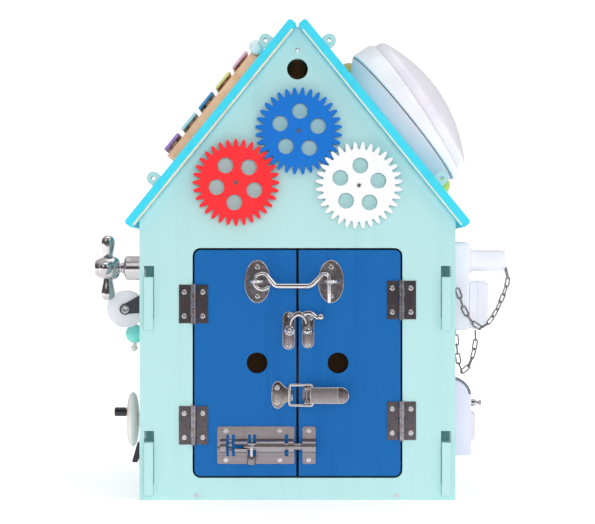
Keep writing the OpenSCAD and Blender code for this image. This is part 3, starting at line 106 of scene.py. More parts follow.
def link_in(socket, value):
    """Puts a number, colour or another node's output on a socket."""
    if isinstance(value, bpy.types.NodeSocket):
        socket.id_data.links.new(value, socket)
    elif value is not None:
        if hasattr(socket.default_value, "__len__") and not hasattr(value, "__len__"):
            value = (value,) * len(socket.default_value)
        if hasattr(value, "__len__") and len(socket.default_value) == 4 and len(value) == 3:
            value = (*value, 1.0)
        socket.default_value = value


def set_inputs(sockets, **values):
    """Puts a value on each of the sockets named, with _ for the spaces in their names."""
    for name, value in values.items():
        link_in(sockets[name.replace("_", " ")], value)


def node(tree, kind, settings=None, **inputs):
    """Adds a node, sets its properties and inputs, and returns it."""
    made = tree.nodes.new(kind)
    for name, value in (settings or {}).items():
        setattr(made, name, value)
    set_inputs(made.inputs, **inputs)
    return made


def math_node(tree, operation, a, b=None):
    """One sum on numbers or outputs; gives its result."""
    made = tree.nodes.new("ShaderNodeMath")
    made.operation = operation
    link_in(made.inputs[0], a)
    if b is not None:
        link_in(made.inputs[1], b)
    return made.outputs[0]


def times(tree, a, b):
    """Product of two numbers or outputs."""
    return math_node(tree, "MULTIPLY", a, b)


def mix_colour(tree, factor, a, b):
    """a blended towards b by factor; gives the colour."""
    made = tree.nodes.new("ShaderNodeMix")
    made.data_type = "RGBA"
    link_in(made.inputs[0], factor)
    link_in(made.inputs[6], a)
    link_in(made.inputs[7], b)
    return made.outputs[2]


def ramp(tree, value, low, high):
    """0 below low, 1 above high."""
    made = tree.nodes.new("ShaderNodeMapRange")
    made.interpolation_type = "SMOOTHSTEP"
    link_in(made.inputs[0], value)
    made.inputs[1].default_value = low
    made.inputs[2].default_value = high
    return made.outputs[0]


def new_group(name, inputs, outputs):
    """An empty shader node group with named sockets: (name, type, default)."""
    tree = bpy.data.node_groups.new(name, "ShaderNodeTree")
    for socket, kind, default in inputs:
        made = tree.interface.new_socket(name=socket, in_out="INPUT", socket_type="NodeSocket" + kind)
        if default is not None:
            made.default_value = default
    for socket, kind in outputs:
        tree.interface.new_socket(name=socket, in_out="OUTPUT", socket_type="NodeSocket" + kind)
    start = tree.nodes.new("NodeGroupInput")
    end = tree.nodes.new("NodeGroupOutput")
    return tree, start.outputs, end.inputs


def stretched(tree, vector, scale):
    """A point scaled along each axis, so that a pattern comes out long or short there."""
    made = node(tree, "ShaderNodeMapping", Vector=vector, Scale=scale)
    return made.outputs[0]


def noise(tree, vector, scale, detail=3.0, roughness=0.55):
    """Value of a noise at a point."""
    made = node(tree, "ShaderNodeTexNoise", Vector=vector, Scale=scale, Detail=detail,
                Roughness=roughness)
    return made.outputs[0]


def object_point(tree):
    """The place on the piece, in metres."""
    return tree.nodes.new("ShaderNodeTexCoord").outputs["Object"]


def wood_grain_group():
    """Long streaks and fine pores of stained or painted plywood."""
    tree, given, out = new_group(
        "wood_grain",
        [("Point", "Vector", None), ("Stretch", "Vector", (70.0, 70.0, 4.0)), ("Colour", "Color", None),
         ("Dark", "Color", None), ("Light", "Color", None), ("Depth", "Float", 0.3)],
        [("Colour", "Color"), ("Height", "Float"), ("Roughness", "Float")])
    at = stretched(tree, given["Point"], given["Stretch"])
    warp = noise(tree, given["Point"], 6.0, 2.0)
    wander = node(tree, "ShaderNodeVectorMath", {"operation": "MULTIPLY_ADD"})
    link_in(wander.inputs[0], node(tree, "ShaderNodeCombineXYZ", X=warp, Y=warp, Z=0.0).outputs[0])
    wander.inputs[1].default_value = (1.6, 1.6, 0.0)
    link_in(wander.inputs[2], at)
    streak = noise(tree, wander.outputs[0], 1.0, 4.0, 0.6)
    fine = noise(tree, stretched(tree, given["Point"], (900.0, 900.0, 22.0)), 1.0, 2.0, 0.5)
    dark_mask = ramp(tree, streak, 0.52, 0.30)
    light_mask = ramp(tree, fine, 0.56, 0.74)
    base = mix_colour(tree, times(tree, dark_mask, given["Depth"]), given["Colour"], given["Dark"])
    base = mix_colour(tree, times(tree, light_mask, given["Depth"]), base, given["Light"])
    set_inputs(out, Colour=base, Height=math_node(tree, "ADD", times(tree, streak, 0.5), fine),
               Roughness=times(tree, fine, 0.18))
    return tree


def worn_metal_group():
    """Smudges, faint scratches and a mottled plate on small metal fittings."""
    tree, given, out = new_group(
        "worn_metal",
        [("Point", "Vector", None), ("Colour", "Color", None), ("Tarnish", "Color", None),
         ("Amount", "Float", 0.4), ("Size", "Float", 160.0)],
        [("Colour", "Color"), ("Roughness", "Float"), ("Height", "Float")])
    blotch = noise(tree, given["Point"], given["Size"], 5.0, 0.65)
    speck = noise(tree, given["Point"], times(tree, given["Size"], 7.0), 3.0, 0.6)
    mask = ramp(tree, blotch, 0.45, 0.68)
    spots = ramp(tree, speck, 0.58, 0.70)
    both = math_node(tree, "MAXIMUM", mask, times(tree, spots, 0.6))
    base = mix_colour(tree, times(tree, both, given["Amount"]), given["Colour"], given["Tarnish"])
    set_inputs(out, Colour=base, Roughness=times(tree, both, 0.25),
               Height=math_node(tree, "ADD", blotch, times(tree, speck, 0.4)))
    return tree


def brushing_group():
    """Fine parallel lines of brushed steel."""
    tree, given, out = new_group(
        "brushing", [("Point", "Vector", None), ("Lines", "Vector", (20.0, 20.0, 2500.0))],
        [("Shade", "Float"), ("Height", "Float")])
    lines = noise(tree, stretched(tree, given["Point"], given["Lines"]), 1.0, 3.0, 0.6)
    set_inputs(out, Shade=ramp(tree, lines, 0.3, 0.7), Height=lines)
    return tree


def moulded_group():
    """Even plastic with a faint orange-peel surface and slight shade variation."""
    tree, given, out = new_group(
        "moulded", [("Point", "Vector", None), ("Colour", "Color", None), ("Shade", "Color", None),
                    ("Grain", "Float", 900.0)],
        [("Colour", "Color"), ("Height", "Float"), ("Roughness", "Float")])
    cloud = noise(tree, given["Point"], 18.0, 3.0)
    peel = noise(tree, given["Point"], given["Grain"], 2.0)
    base = mix_colour(tree, ramp(tree, cloud, 0.4, 0.75), given["Colour"], given["Shade"])
    set_inputs(out, Colour=base, Height=peel, Roughness=times(tree, cloud, 0.12))
    return tree


GROUPS = {
    "wood_grain": wood_grain_group(),
    "worn_metal": worn_metal_group(),
    "brushing": brushing_group(),
    "moulded": moulded_group(),
}


def use(tree, name, **inputs):
    """Places a shared group in a material and gives its outputs."""
    made = tree.nodes.new("ShaderNodeGroup")
    made.node_tree = GROUPS[name]
    set_inputs(made.inputs, **inputs)
    return made.outputs


def start_material(name, view_colour):
    """An empty material; gives it, its node tree and its surface shader."""
    material = bpy.data.materials.new(name)
    material.use_nodes = True
    material.diffuse_color = (*view_colour, 1.0)
    tree = material.node_tree
    return material, tree, tree.nodes["Principled BSDF"]


def bump(tree, height, strength, distance, bsdf):
    """Raises the surface by a height, up to a distance in metres."""
    made = node(tree, "ShaderNodeBump", Height=height, Strength=strength, Distance=distance)
    set_inputs(bsdf.inputs, Normal=made.outputs[0])


def offset(tree, value, base, low=0.0, high=1.0):
    """base plus a varying value, kept between low and high."""
    total = math_node(tree, "ADD", value, base)
    return math_node(tree, "MINIMUM", math_node(tree, "MAXIMUM", total, low), high)


def srgb(red, green, blue):
    """Linear colour of a paint given in 0 to 255 display values."""
    shares = (red / 255, green / 255, blue / 255)
    return tuple(c / 12.92 if c <= 0.04045 else ((c + 0.055) / 1.055) ** 2.4 for c in shares)


def painted_board(name, colour, dark, light, depth, roughness=0.5, stretch=(70, 70, 4),
                  bump_depth=0.00005, coat=0.0, sheen=0.5, turned=None):
    """Stained or painted plywood whose grain still shows. Its colours are given in 0 to 255 display
    values, and turned lays the grain along a sloping board."""
    colour, dark, light = srgb(*colour), srgb(*dark), srgb(*light)
    material, tree, bsdf = start_material(name, colour)
    point = object_point(tree)
    if turned:
        point = node(tree, "ShaderNodeMapping", Vector=point, Rotation=turned).outputs[0]
    grain = use(tree, "wood_grain", Point=point, Stretch=stretch, Colour=colour, Dark=dark,
                Light=light, Depth=depth)
    set_inputs(bsdf.inputs, Base_Color=grain["Colour"], Roughness=offset(tree, grain["Roughness"], roughness),
               Specular_IOR_Level=sheen, Coat_Weight=coat, Coat_Roughness=0.25)
    bump(tree, grain["Height"], 0.35, bump_depth, bsdf)
    return material


def fitting_metal(name, colour, tarnish, amount, roughness, size=160.0, bump_depth=0.000002):
    """Plated steel or chrome with smudges."""
    material, tree, bsdf = start_material(name, colour)
    worn = use(tree, "worn_metal", Point=object_point(tree), Colour=colour, Tarnish=tarnish,
               Amount=amount, Size=size)
    set_inputs(bsdf.inputs, Base_Color=worn["Colour"], Roughness=offset(tree, worn["Roughness"], roughness),
               Metallic=1.0)
    bump(tree, worn["Height"], 0.25, bump_depth, bsdf)
    return material


def brushed_metal(name, colour, tarnish, roughness, lines):
    """Stainless sheet brushed in one direction."""
    material, tree, bsdf = start_material(name, colour)
    point = object_point(tree)
    brushed = use(tree, "brushing", Point=point, Lines=lines)
    worn = use(tree, "worn_metal", Point=point, Colour=colour, Tarnish=tarnish, Amount=0.3, Size=120.0)
    base = mix_colour(tree, times(tree, brushed["Shade"], 0.35), worn["Colour"], tarnish)
    set_inputs(bsdf.inputs, Base_Color=base, Metallic=1.0,
               Roughness=offset(tree, times(tree, brushed["Shade"], 0.15), roughness))
    bump(tree, brushed["Height"], 0.3, 0.00003, bsdf)
    return material


def moulded_plastic(name, colour, shade, roughness, coat=0.3, grain=900.0, glow=0.0):
    """Injection-moulded plastic."""
    material, tree, bsdf = start_material(name, colour)
    skin = use(tree, "moulded", Point=object_point(tree), Colour=colour, Shade=shade, Grain=grain)
    set_inputs(bsdf.inputs, Base_Color=skin["Colour"], Roughness=offset(tree, skin["Roughness"], roughness),
               Coat_Weight=coat, Coat_Roughness=0.12, Subsurface_Weight=glow,
               Subsurface_Radius=(0.004, 0.004, 0.005))
    bump(tree, skin["Height"], 0.12, 0.00003, bsdf)
    return material


# ---- finishes ----

# Turquoise of the roof: its colour, and its dark and light streaks
CYAN = ((62, 212, 236), (38, 190, 222), (96, 228, 244))
ALONG_LEFT_ROOF = (0.0, -ROOF_PITCH, 0.0)
ALONG_RIGHT_ROOF = (0.0, ROOF_PITCH, 0.0)
# Wood and paint: colour, dark and light streaks in display values, depth of the grain, roughness and
# what differs from the usual board
BOARDS = (
    ("mint_board", (180, 221, 220), (166, 209, 207), (192, 230, 229), 0.25, 0.55, {}),
    ("cyan_left", *CYAN, 0.35, 0.5, {"stretch": (5, 60, 60), "turned": ALONG_LEFT_ROOF}),
    ("cyan_right", *CYAN, 0.35, 0.5, {"stretch": (5, 60, 60), "turned": ALONG_RIGHT_ROOF}),
    ("blue_board", (14, 98, 168), (8, 84, 152), (34, 118, 188), 0.4, 0.55,
     {"stretch": (110, 110, 3.0), "sheen": 0.3}),
    ("gear_blue_paint", (20, 112, 202), (12, 100, 190), (38, 130, 216), 0.25, 0.5, {"sheen": 0.3}),
    ("gear_red_paint", (246, 48, 54), (232, 36, 44), (252, 74, 74), 0.25, 0.5, {"sheen": 0.3}),
    ("gear_white_paint", (243, 243, 247), (230, 232, 238), (252, 252, 255), 0.25, 0.45, {"sheen": 0.4}),
    ("slot_shade", (92, 138, 138), (58, 92, 94), (130, 170, 170), 0.7, 0.7, {"stretch": (900, 60, 6)}),
    ("plain_wood", (255, 200, 160), (232, 166, 124), (255, 222, 190), 0.6, 0.55,
     {"stretch": (5, 60, 60), "turned": ALONG_LEFT_ROOF}),
    ("key_shade", (176, 136, 112), (140, 104, 82), (196, 158, 132), 0.5, 0.7, {}),
    ("raw_edge", (226, 226, 204), (196, 190, 160), (240, 240, 226), 0.5, 0.6, {"stretch": (5, 60, 60)}),
    ("inner_wood", (220, 158, 102), (190, 126, 78), (236, 184, 134), 0.5, 0.7, {}),
    ("ball_paint", (132, 232, 222), (112, 216, 206), (166, 240, 232), 0.3, 0.35, {"coat": 0.4}),
    ("mallet_paint", (222, 246, 248), (206, 234, 236), (236, 252, 252), 0.3, 0.4, {"coat": 0.3}),
    ("olive_paint", (176, 170, 96), (150, 144, 76), (200, 194, 124), 0.3, 0.4, {"coat": 0.3}),
    ("lime_paint", (176, 220, 96), (150, 200, 74), (204, 234, 132), 0.3, 0.4, {"coat": 0.3}),
)
# Metals: colour, tarnish, its amount, roughness, and scale and height of the smudges
METALS = (
    ("hinge_steel", (0.20, 0.17, 0.18), (0.12, 0.10, 0.11), 0.5, 0.28, 320.0, 0.0000015),
    ("screw_steel", (0.86, 0.84, 0.84), (0.60, 0.57, 0.57), 0.3, 0.22, 500.0),
    ("chrome", (0.64, 0.61, 0.62), (0.46, 0.43, 0.43), 0.2, 0.07, 120.0),
    ("wire_chrome", (0.82, 0.78, 0.76), (0.60, 0.56, 0.55), 0.2, 0.14, 120.0),
    ("nickel", (0.47, 0.42, 0.44), (0.30, 0.26, 0.27), 0.35, 0.24),
    ("dark_nickel", (0.36, 0.31, 0.31), (0.22, 0.18, 0.18), 0.35, 0.22, 200.0),
    ("satin_nickel", (0.50, 0.45, 0.46), (0.22, 0.18, 0.19), 0.8, 0.34, 900.0),
    ("chain_steel", (0.34, 0.30, 0.31), (0.20, 0.17, 0.18), 0.3, 0.24, 700.0),
)
# Plastics: colour and shade in display values, roughness, coat, grain, glow
PLASTICS = (
    # Grey of the button box's band, and a painted dark reflection on the socket box's corner
    ("band_grey", (128, 130, 146), (106, 108, 124), 0.3, 0.4),
    ("fork_enamel", (62, 62, 72), (50, 50, 58), 0.35, 0.3),
    ("white_plastic", (243, 242, 250), (236, 235, 246), 0.32),
    ("box_white", (230, 229, 247), (222, 221, 241), 0.34),
    ("button_white", (226, 225, 234), (216, 215, 226), 0.36),
    ("lamp_base_white", (255, 240, 243), (252, 234, 239), 0.4, 0.0),
    ("lamp_rim_white", (246, 247, 251), (240, 241, 248), 0.22, 0.6),
    ("lens_white", (242, 240, 248), (234, 231, 243), 0.25, 0.6, 900.0, 0.1),
    # Grey of the lamp's seam and lens line, painted shade in their grooves
    ("seam_grey", (96, 98, 110), (80, 82, 92), 0.5, 0.0),
    ("cream_plastic", (248, 242, 238), (236, 230, 226), 0.36),
    ("grey_plastic", (98, 96, 108), (84, 82, 94), 0.45, 0.1),
    ("wheel_plastic", (238, 236, 240), (222, 221, 227), 0.4, 0.1),
)
FINISH = {
    "bolt_steel": brushed_metal("bolt_steel", (0.48, 0.42, 0.43), (0.29, 0.25, 0.26), 0.24,
                                (6.0, 40.0, 2600.0)),
    "black_plastic": moulded_plastic("black_plastic", (0.012, 0.012, 0.014), (0.02, 0.02, 0.022), 0.3),
}
for name, *look, options in BOARDS:
    FINISH[name] = painted_board(name, *look, **options)
for name, *look in METALS:
    FINISH[name] = fitting_metal(name, *look)
for name, colour, shade, *look in PLASTICS:
    FINISH[name] = moulded_plastic(name, srgb(*colour), srgb(*shade), *look)


def enamel(name, red, green, blue, roughness=0.3):
    """Glossy paint on a small metal bar or bead."""
    colour = srgb(red, green, blue)
    shade = tuple(0.86 * c for c in colour)
    return moulded_plastic(name, colour, shade, roughness, 0.5, 700.0)


# ---- mesh helpers ----

def block(low, high):
    """A plain box between two corners in millimetres, as a bmesh."""
    mesh = bmesh.new()
    bmesh.ops.create_cube(mesh, size=1.0)
    for v in mesh.verts:
        v.co = Vector([(low[i] + high[i]) / 2 + v.co[i] * (high[i] - low[i]) for i in range(3)]) / 1000
    return mesh


def round_edges(mesh, edges, width):
    """Rounds edges of a bmesh; width is in millimetres."""
    bmesh.ops.bevel(mesh, geom=edges, offset=width / 1000, segments=3, profile=0.5, affect="EDGES",
                    clamp_overlap=True)


def ring_of_verts(mesh, middle, side, up, count):
    """New vertices on the ellipse round middle whose half axes are side and up, all in millimetres."""
    turns = [2 * math.pi * k / count for k in range(count)]
    return [mesh.verts.new((middle + math.cos(a) * side + math.sin(a) * up) / 1000) for a in turns]


def join_rings(mesh, rings, closed=False):
    """Faces between neighbouring rings, and from the last to the first if closed. A ring of one vertex
    makes a point."""
    pairs = list(zip(rings, rings[1:]))
    if closed:
        pairs.append((rings[-1], rings[0]))
    for one, two in pairs:
        for k in range(max(len(one), len(two))):
            corners = [one[k % len(one)], one[(k + 1) % len(one)], two[(k + 1) % len(two)], two[k % len(two)]]
            kept = [v for i, v in enumerate(corners) if v not in corners[:i]]
            if len(kept) > 2:
                mesh.faces.new(kept)


def island_meshes(source, data=None):
    """The separate solids of a node, or of a changed copy of its mesh, as bmeshes."""
    whole = bmesh.new()
    whole.from_mesh(data or nodes[source].data)
    bmesh.ops.remove_doubles(whole, verts=whole.verts, dist=1e-6)
    seen = set()
    islands = []
    for vert in whole.verts:
        if vert.index in seen:
            continue
        stack = [vert]
        group = []
        seen.add(vert.index)
        while stack:
            v = stack.pop()
            group.append(v)
            for e in v.link_edges:
                w = e.other_vert(v)
                if w.index not in seen:
                    seen.add(w.index)
                    stack.append(w)
        islands.append(group)
    result = []
    for group in islands:
        part = bmesh.new()
        copies = {v.index: part.verts.new(v.co) for v in group}
        faces = {f for v in group for f in v.link_faces}
        for f in sorted(faces, key=lambda f: f.index):
            part.faces.new([copies[v.index] for v in f.verts])
        result.append(part)
    whole.free()
    return result


def centre(mesh):
    """Middle of the box round a bmesh."""
    points = [v.co for v in mesh.verts]
    return Vector([(min(p[i] for p in points) + max(p[i] for p in points)) / 2 for i in range(3)])


def size(mesh):
    """Extent of the box round a bmesh."""
    points = [v.co for v in mesh.verts]
    return Vector([max(p[i] for p in points) - min(p[i] for p in points) for i in range(3)])


def soften(mesh, width):
    """Rounds the sharp edges of a bmesh a little; width is in metres."""
    flat, sharp = math.radians(0.5), math.radians(35)
    bmesh.ops.dissolve_limit(mesh, angle_limit=flat, verts=mesh.verts, edges=mesh.edges)
    edges = [e for e in mesh.edges if len(e.link_faces) == 2 and e.calc_face_angle(0.0) > sharp]
    if edges:
        bmesh.ops.bevel(mesh, geom=edges, offset=width, segments=2, profile=0.5, affect="EDGES",
                        clamp_overlap=True)


def make_piece(name, mesh, material, body, smooth=35):
    """A new object from a bmesh, shaded smooth except at sharp edges, riding on a body."""
    data = bpy.data.meshes.new(name)
    bmesh.ops.recalc_face_normals(mesh, faces=mesh.faces)
    mesh.to_mesh(data)
    mesh.free()
    for polygon in data.polygons:
        polygon.use_smooth = True
    data.set_sharp_from_angle(angle=math.radians(smooth))
    piece = add_object(name, data)
    data.materials.append(material)
    if body:
        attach(piece, body)
    return piece


def node_body(source):
    """The body that a node rides on."""
    for body, members in frame["record"]["behaviour"]["bodies"].items():
        if source in members:
            return body
    raise KeyError(source)


# ---- pieces made from the frame's own solids ----

def cut_mesh(source, boxes):
    """A copy of a node's mesh with boxes, given as two corners in millimetres, cut out of it."""
    piece = add_object("uncut", nodes[source].data.copy())
    cutters = []
    for low, high in boxes:
        mesh = block(low, high)
        data = bpy.data.meshes.new("cutter")
        mesh.to_mesh(data)
        mesh.free()
        cutter = add_object("cutter", data)
        change = piece.modifiers.new("cut", "BOOLEAN")
        change.operation = "DIFFERENCE"
        change.solver = "EXACT"
        change.object = cutter
        cutters.append(cutter)
    bpy.context.view_layer.update()
    result = bpy.data.meshes.new_from_object(piece.evaluated_get(bpy.context.evaluated_depsgraph_get()))
    for leftover in cutters + [piece]:
        bpy.data.objects.remove(leftover)
    return result


# Openings of the barrel bolt's cover through which the door shows: five gaps between its bands and the
# slot for the handle, as left and right edges. All of them run from before the cover to behind it.
BOLT_GAPS = ((-71.2, -68.4), (-65.6, -62.5), (-49.4, -46.4), (-44.5, -41.3), (-12.8, -9.2))
GAP_LOW, GAP_HIGH = 43.8, 65.6
SLOT_LEFT, SLOT_RIGHT = -63, -53.6
SLOT_LOW, SLOT_HIGH = 51.9, 56.2
CUT_FROM, CUT_TO = -170, -149
BOLT_CUTS = [((left, CUT_FROM, GAP_LOW), (right, CUT_TO, GAP_HIGH)) for left, right in BOLT_GAPS]
BOLT_CUTS.append(((SLOT_LEFT, CUT_FROM, SLOT_LOW), (SLOT_RIGHT, CUT_TO, SLOT_HIGH)))


def softened(source, finish, width, cuts=None):
    """Replaces a node with a copy of itself whose edges are rounded."""
    whole = bmesh.new()
    for part in island_meshes(source, cut_mesh(source, cuts) if cuts else None):
        soften(part, width)
        copy = bpy.data.meshes.new("temp")
        part.to_mesh(copy)
        part.free()
        whole.from_mesh(copy)
        bpy.data.meshes.remove(copy)
    piece = make_piece(source + "_finished", whole, FINISH[finish], node_body(source))
    weights = piece.modifiers.new("weights", "WEIGHTED_NORMAL")
    weights.keep_sharp = True
    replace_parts(piece, source)
    return piece


def finish_node(source, finish):
    """Gives a CAD node its material."""
    data = nodes[source].data
    data.materials.clear()
    data.materials.append(FINISH[finish])


# Nodes whose own shape is right, with their finish
KEPT = {
    "floor_board": "mint_board", "frame_screws": "screw_steel", "left_door_screws": "screw_steel",
    "right_door_screws": "screw_steel", "gear_axles": "screw_steel", "toggle_base": "nickel",
    "caster_plate": "hinge_steel", "caster_wheel": "wheel_plastic", "crank_wheel": "cream_plastic",
    "crank_knob": "black_plastic", "switch_box": "grey_plastic", "switch_rocker": "black_plastic",
    "cord_bead": "ball_paint", "plug_upper": "white_plastic", "plug_lower": "white_plastic",
    "box_button": "button_white", "box_knob": "chrome", "xylo_base": "plain_wood", "mallet": "mallet_paint",
}
for source, finish in KEPT.items():
    finish_node(source, finish)

# Nodes that get rounded edges, with their finish and the width of the rounding in metres
SOFTENED = (
    ("front_panel", "mint_board", 0.0004), ("back_panel", "mint_board", 0.0004),
    ("left_wall", "mint_board", 0.0004), ("right_wall", "mint_board", 0.0004),
    ("roof_left", "cyan_left", 0.0012), ("roof_right", "cyan_right", 0.0012),
    ("left_door", "blue_board", 0.0006), ("right_door", "blue_board", 0.0006),
    ("gear_blue", "gear_blue_paint", 0.0003), ("gear_red", "gear_red_paint", 0.0003),
    ("gear_white", "gear_white_paint", 0.0003), ("hinge_frames", "hinge_steel", 0.0002),
    ("left_hinge_leaves", "hinge_steel", 0.0002), ("right_hinge_leaves", "hinge_steel", 0.0002),
    ("hook_plate_left", "nickel", 0.0007), ("hook_plate_right", "nickel", 0.0007),
    ("bolt_housing", "bolt_steel", 0.0003), ("bolt_handle", "chrome", 0.0002),
    ("bolt_strike", "bolt_steel", 0.0003), ("caster_fork", "fork_enamel", 0.0003),
    ("socket_box", "white_plastic", 0.0006), ("button_box", "box_white", 0.0003),
)
CUTS = {"bolt_housing": BOLT_CUTS}
FINISHED = {}
for source, finish, width in SOFTENED:
    FINISHED[source] = softened(source, finish, width, CUTS.get(source))


def repaint(source, finish, chosen):
    """A second finish on the faces of a softened piece for which chosen(centre, normal) holds."""
    piece = FINISHED[source]
    piece.data.materials.append(FINISH[finish])
    slot = len(piece.data.materials) - 1
    for polygon in piece.data.polygons:
        if chosen(polygon.center, polygon.normal):
            polygon.material_index = slot


def divide(source, planes):
    """Cuts a softened piece's faces along planes, so that each side can take its own finish."""
    mesh = bmesh.new()
    mesh.from_mesh(FINISHED[source].data)
    for point, normal in planes:
        bmesh.ops.bisect_plane(mesh, geom=mesh.verts[:] + mesh.edges[:] + mesh.faces[:], dist=1e-7,
                               plane_co=point, plane_no=normal)
    mesh.to_mesh(FINISHED[source].data)
    mesh.free()


def inside_house(at):
    """Whether a point is between the side walls and under both roof boards."""
    return (abs(at.x) < WALL_OUTSIDE / 1000
            and at.z < RIDGE_Z / 1000 - abs(at.x) * math.tan(ROOF_PITCH))


def second_finishes():
    """Painted shade in slots, bare wood inside, painted highlights and dark reflection, a steel axle."""
    facing = 0.9
    slot_bottom, slot_reach = -0.141, 0.0006
    for side in ("left_wall", "right_wall"):
        repaint(side, "slot_shade",
                lambda at, way: way.y < -facing and abs(at.y - slot_bottom) < slot_reach)
    walls = [((side * WALL_OUTSIDE / 1000, 0, 0), (1, 0, 0)) for side in (-1, 1)]
    roofs = [((0, 0, RIDGE_Z / 1000), (side * math.sin(ROOF_PITCH), 0, math.cos(ROOF_PITCH)))
             for side in (-1, 1)]
    divide("back_panel", walls + roofs)
    repaint("back_panel", "inner_wood", lambda at, way: way.y < -facing and inside_house(at))
    # The oval plates' edges take bright screw steel as a painted highlight
    for oval in ("hook_plate_left", "hook_plate_right"):
        repaint(oval, "screw_steel", lambda at, way: abs(way.y) < facing)
    # The hinge knuckles in front of the leaves take brighter nickel as a painted highlight
    leaf_front = -0.1523
    for leaves in ("hinge_frames", "left_hinge_leaves", "right_hinge_leaves"):
        repaint(leaves, "nickel", lambda at, way: at.y < leaf_front)
    # The socket box's rounded top corner takes the grey as a painted dark reflection
    socket_corner = 0.16
    repaint("socket_box", "band_grey",
            lambda at, way: way.z > 0.3 and way.x > 0.02 and at.x > socket_corner)
    wheel = centre(island_meshes("caster_wheel")[0])
    axle_head, fork_outside = 0.0047, 0.0107
    repaint("caster_fork", "screw_steel",
            lambda at, way: math.hypot(at.x - wheel.x, at.z - wheel.z) < axle_head
            and abs(at.y - wheel.y) > fork_outside)


second_finishes()


def grown(source, finish, by, rides=True):
    """Replaces a node with a copy whose surface stands prouder by so many metres, or by(point) metres."""
    whole = bmesh.new()
    whole.from_mesh(nodes[source].data)
    bmesh.ops.remove_doubles(whole, verts=whole.verts, dist=1e-7)
    bmesh.ops.recalc_face_normals(whole, faces=whole.faces)
    whole.normal_update()
    ways = [v.normal.copy() for v in whole.verts]
    for v, way in zip(whole.verts, ways):
        v.co += way * (by(v.co) if callable(by) else by)
    body = node_body(source) if rides else None
    piece = make_piece(source + "_finished", whole, FINISH[finish], body, 60)
    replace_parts(piece, source)
    return piece


def hook_growth(at):
    """Extra radius of the cabin hook's wire: most in the middle of the bar, little at its two loops."""
    middle, half_length, fade = -0.003, 0.030, 0.008
    least, extra = 0.0001, 0.0008
    share = min(max((half_length - abs(at.x - middle)) / fade, 0), 1)
    return least + extra * share


grown("cabin_hook", "wire_chrome", hook_growth)
grown("toggle_loop", "wire_chrome", 0.0003)


def xylophone_keys():
    """Five painted bars, each on two spacers with a screw at each end."""
    paints = [enamel("key_pink", 232, 186, 204), enamel("key_yellow", 240, 230, 150),
              enamel("key_blue", 62, 146, 198), enamel("key_sky", 176, 222, 232),
              enamel("key_purple", 160, 120, 196)]
    shortest_bar, thinnest_spacer = 0.05, 0.0065
    bars, spacers, screws = [], [], []
    for part in island_meshes("xylo_keys"):
        extent = size(part)
        if extent.length > shortest_bar:
            bars.append(part)
        elif extent.y > thinnest_spacer:
            spacers.append(part)
        else:
            screws.append(part)
    bars.sort(key=lambda part: -centre(part).z)
    for i, (part, paint) in enumerate(zip(bars, paints)):
        soften(part, 0.0006)
        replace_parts(make_piece(f"xylophone_key_{i + 1}", part, paint, "house"), "xylo_keys")
    for kind, parts, finish in (("spacer", spacers, "key_shade"), ("screw", screws, "nickel")):
        for i, part in enumerate(parts):
            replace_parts(make_piece(f"xylophone_{kind}_{i + 1}", part, FINISH[finish], "house"), "xylo_keys")


xylophone_keys()


# ---- shapes turned, swept and cut from sheet ----

def lathe(name, profile, origin, axis, finish, body, steps=64, smooth=35):
    """Turns a profile of (radius, height) pairs in millimetres round an axis from origin."""
    axis = Vector(axis).normalized()
    side = axis.orthogonal().normalized()
    across = axis.cross(side)
    mesh = bmesh.new()
    rings = []
    for radius, height in profile:
        middle = Vector(origin) + axis * height
        if radius == 0:
            rings.append([mesh.verts.new(middle / 1000)])
        else:
            rings.append(ring_of_verts(mesh, middle, radius * side, radius * across, steps))
    join_rings(mesh, rings)
    return make_piece(name, mesh, FINISH[finish], body, smooth)


def smooth_path(points, steps):
    """Points of a smooth curve through the given ones, with steps in each span."""
    path = []
    last = len(points) - 1
    for i in range(last):
        a, b = points[max(i - 1, 0)], points[i]
        c, d = points[i + 1], points[min(i + 2, last)]
        for k in range(steps):
            t = k / steps
            path.append(0.5 * (2 * b + (c - a) * t + (2 * a - 5 * b + 4 * c - d) * t ** 2
                               + (3 * b - a - 3 * c + d) * t ** 3))
    path.append(points[-1])
    return path


def swept(name, path, radii, finish, body, flat=1.0):
    """A bent bar in front of the doors with round ends. path is (x, z, out) in millimetres, and flat is
    its thickness as a share of its width."""
    points = [Vector((x, DOOR_FACE - out, z)) for x, z, out in path]
    steps, sides = 6, 20
    line = smooth_path(points, steps)
    spans = len(points) - 1
    widths = []
    for i in range(len(line)):
        one, two = min(i // steps, spans - 1), min(i // steps + 1, spans)
        share = i / steps % 1
        widths.append(radii[one] * (1 - share) + radii[two] * share)
    start, end = line[0], line[-1]
    back = (line[1] - start).normalized()
    ahead = (end - line[-2]).normalized()
    caps = [(0.98, 0.2), (0.8, 0.6), (0.45, 0.9)]
    rows = ([(start - back * widths[0] * far, widths[0] * part) for part, far in reversed(caps)]
            + list(zip(line, widths))
            + [(end + ahead * widths[-1] * far, widths[-1] * part) for part, far in caps])
    mesh = bmesh.new()
    rings = []
    out = Vector((0, -1, 0))
    for i, (point, radius) in enumerate(rows):
        along = (rows[min(i + 1, len(rows) - 1)][0] - rows[max(i - 1, 0)][0]).normalized()
        across = along.cross(out).normalized()
        up = across.cross(along)
        rings.append(ring_of_verts(mesh, point, radius * across, radius * flat * up, sides))
    join_rings(mesh, rings)
    mesh.faces.new(rings[0][::-1])
    mesh.faces.new(rings[-1])
    return make_piece(name, mesh, FINISH[finish], body, 60)


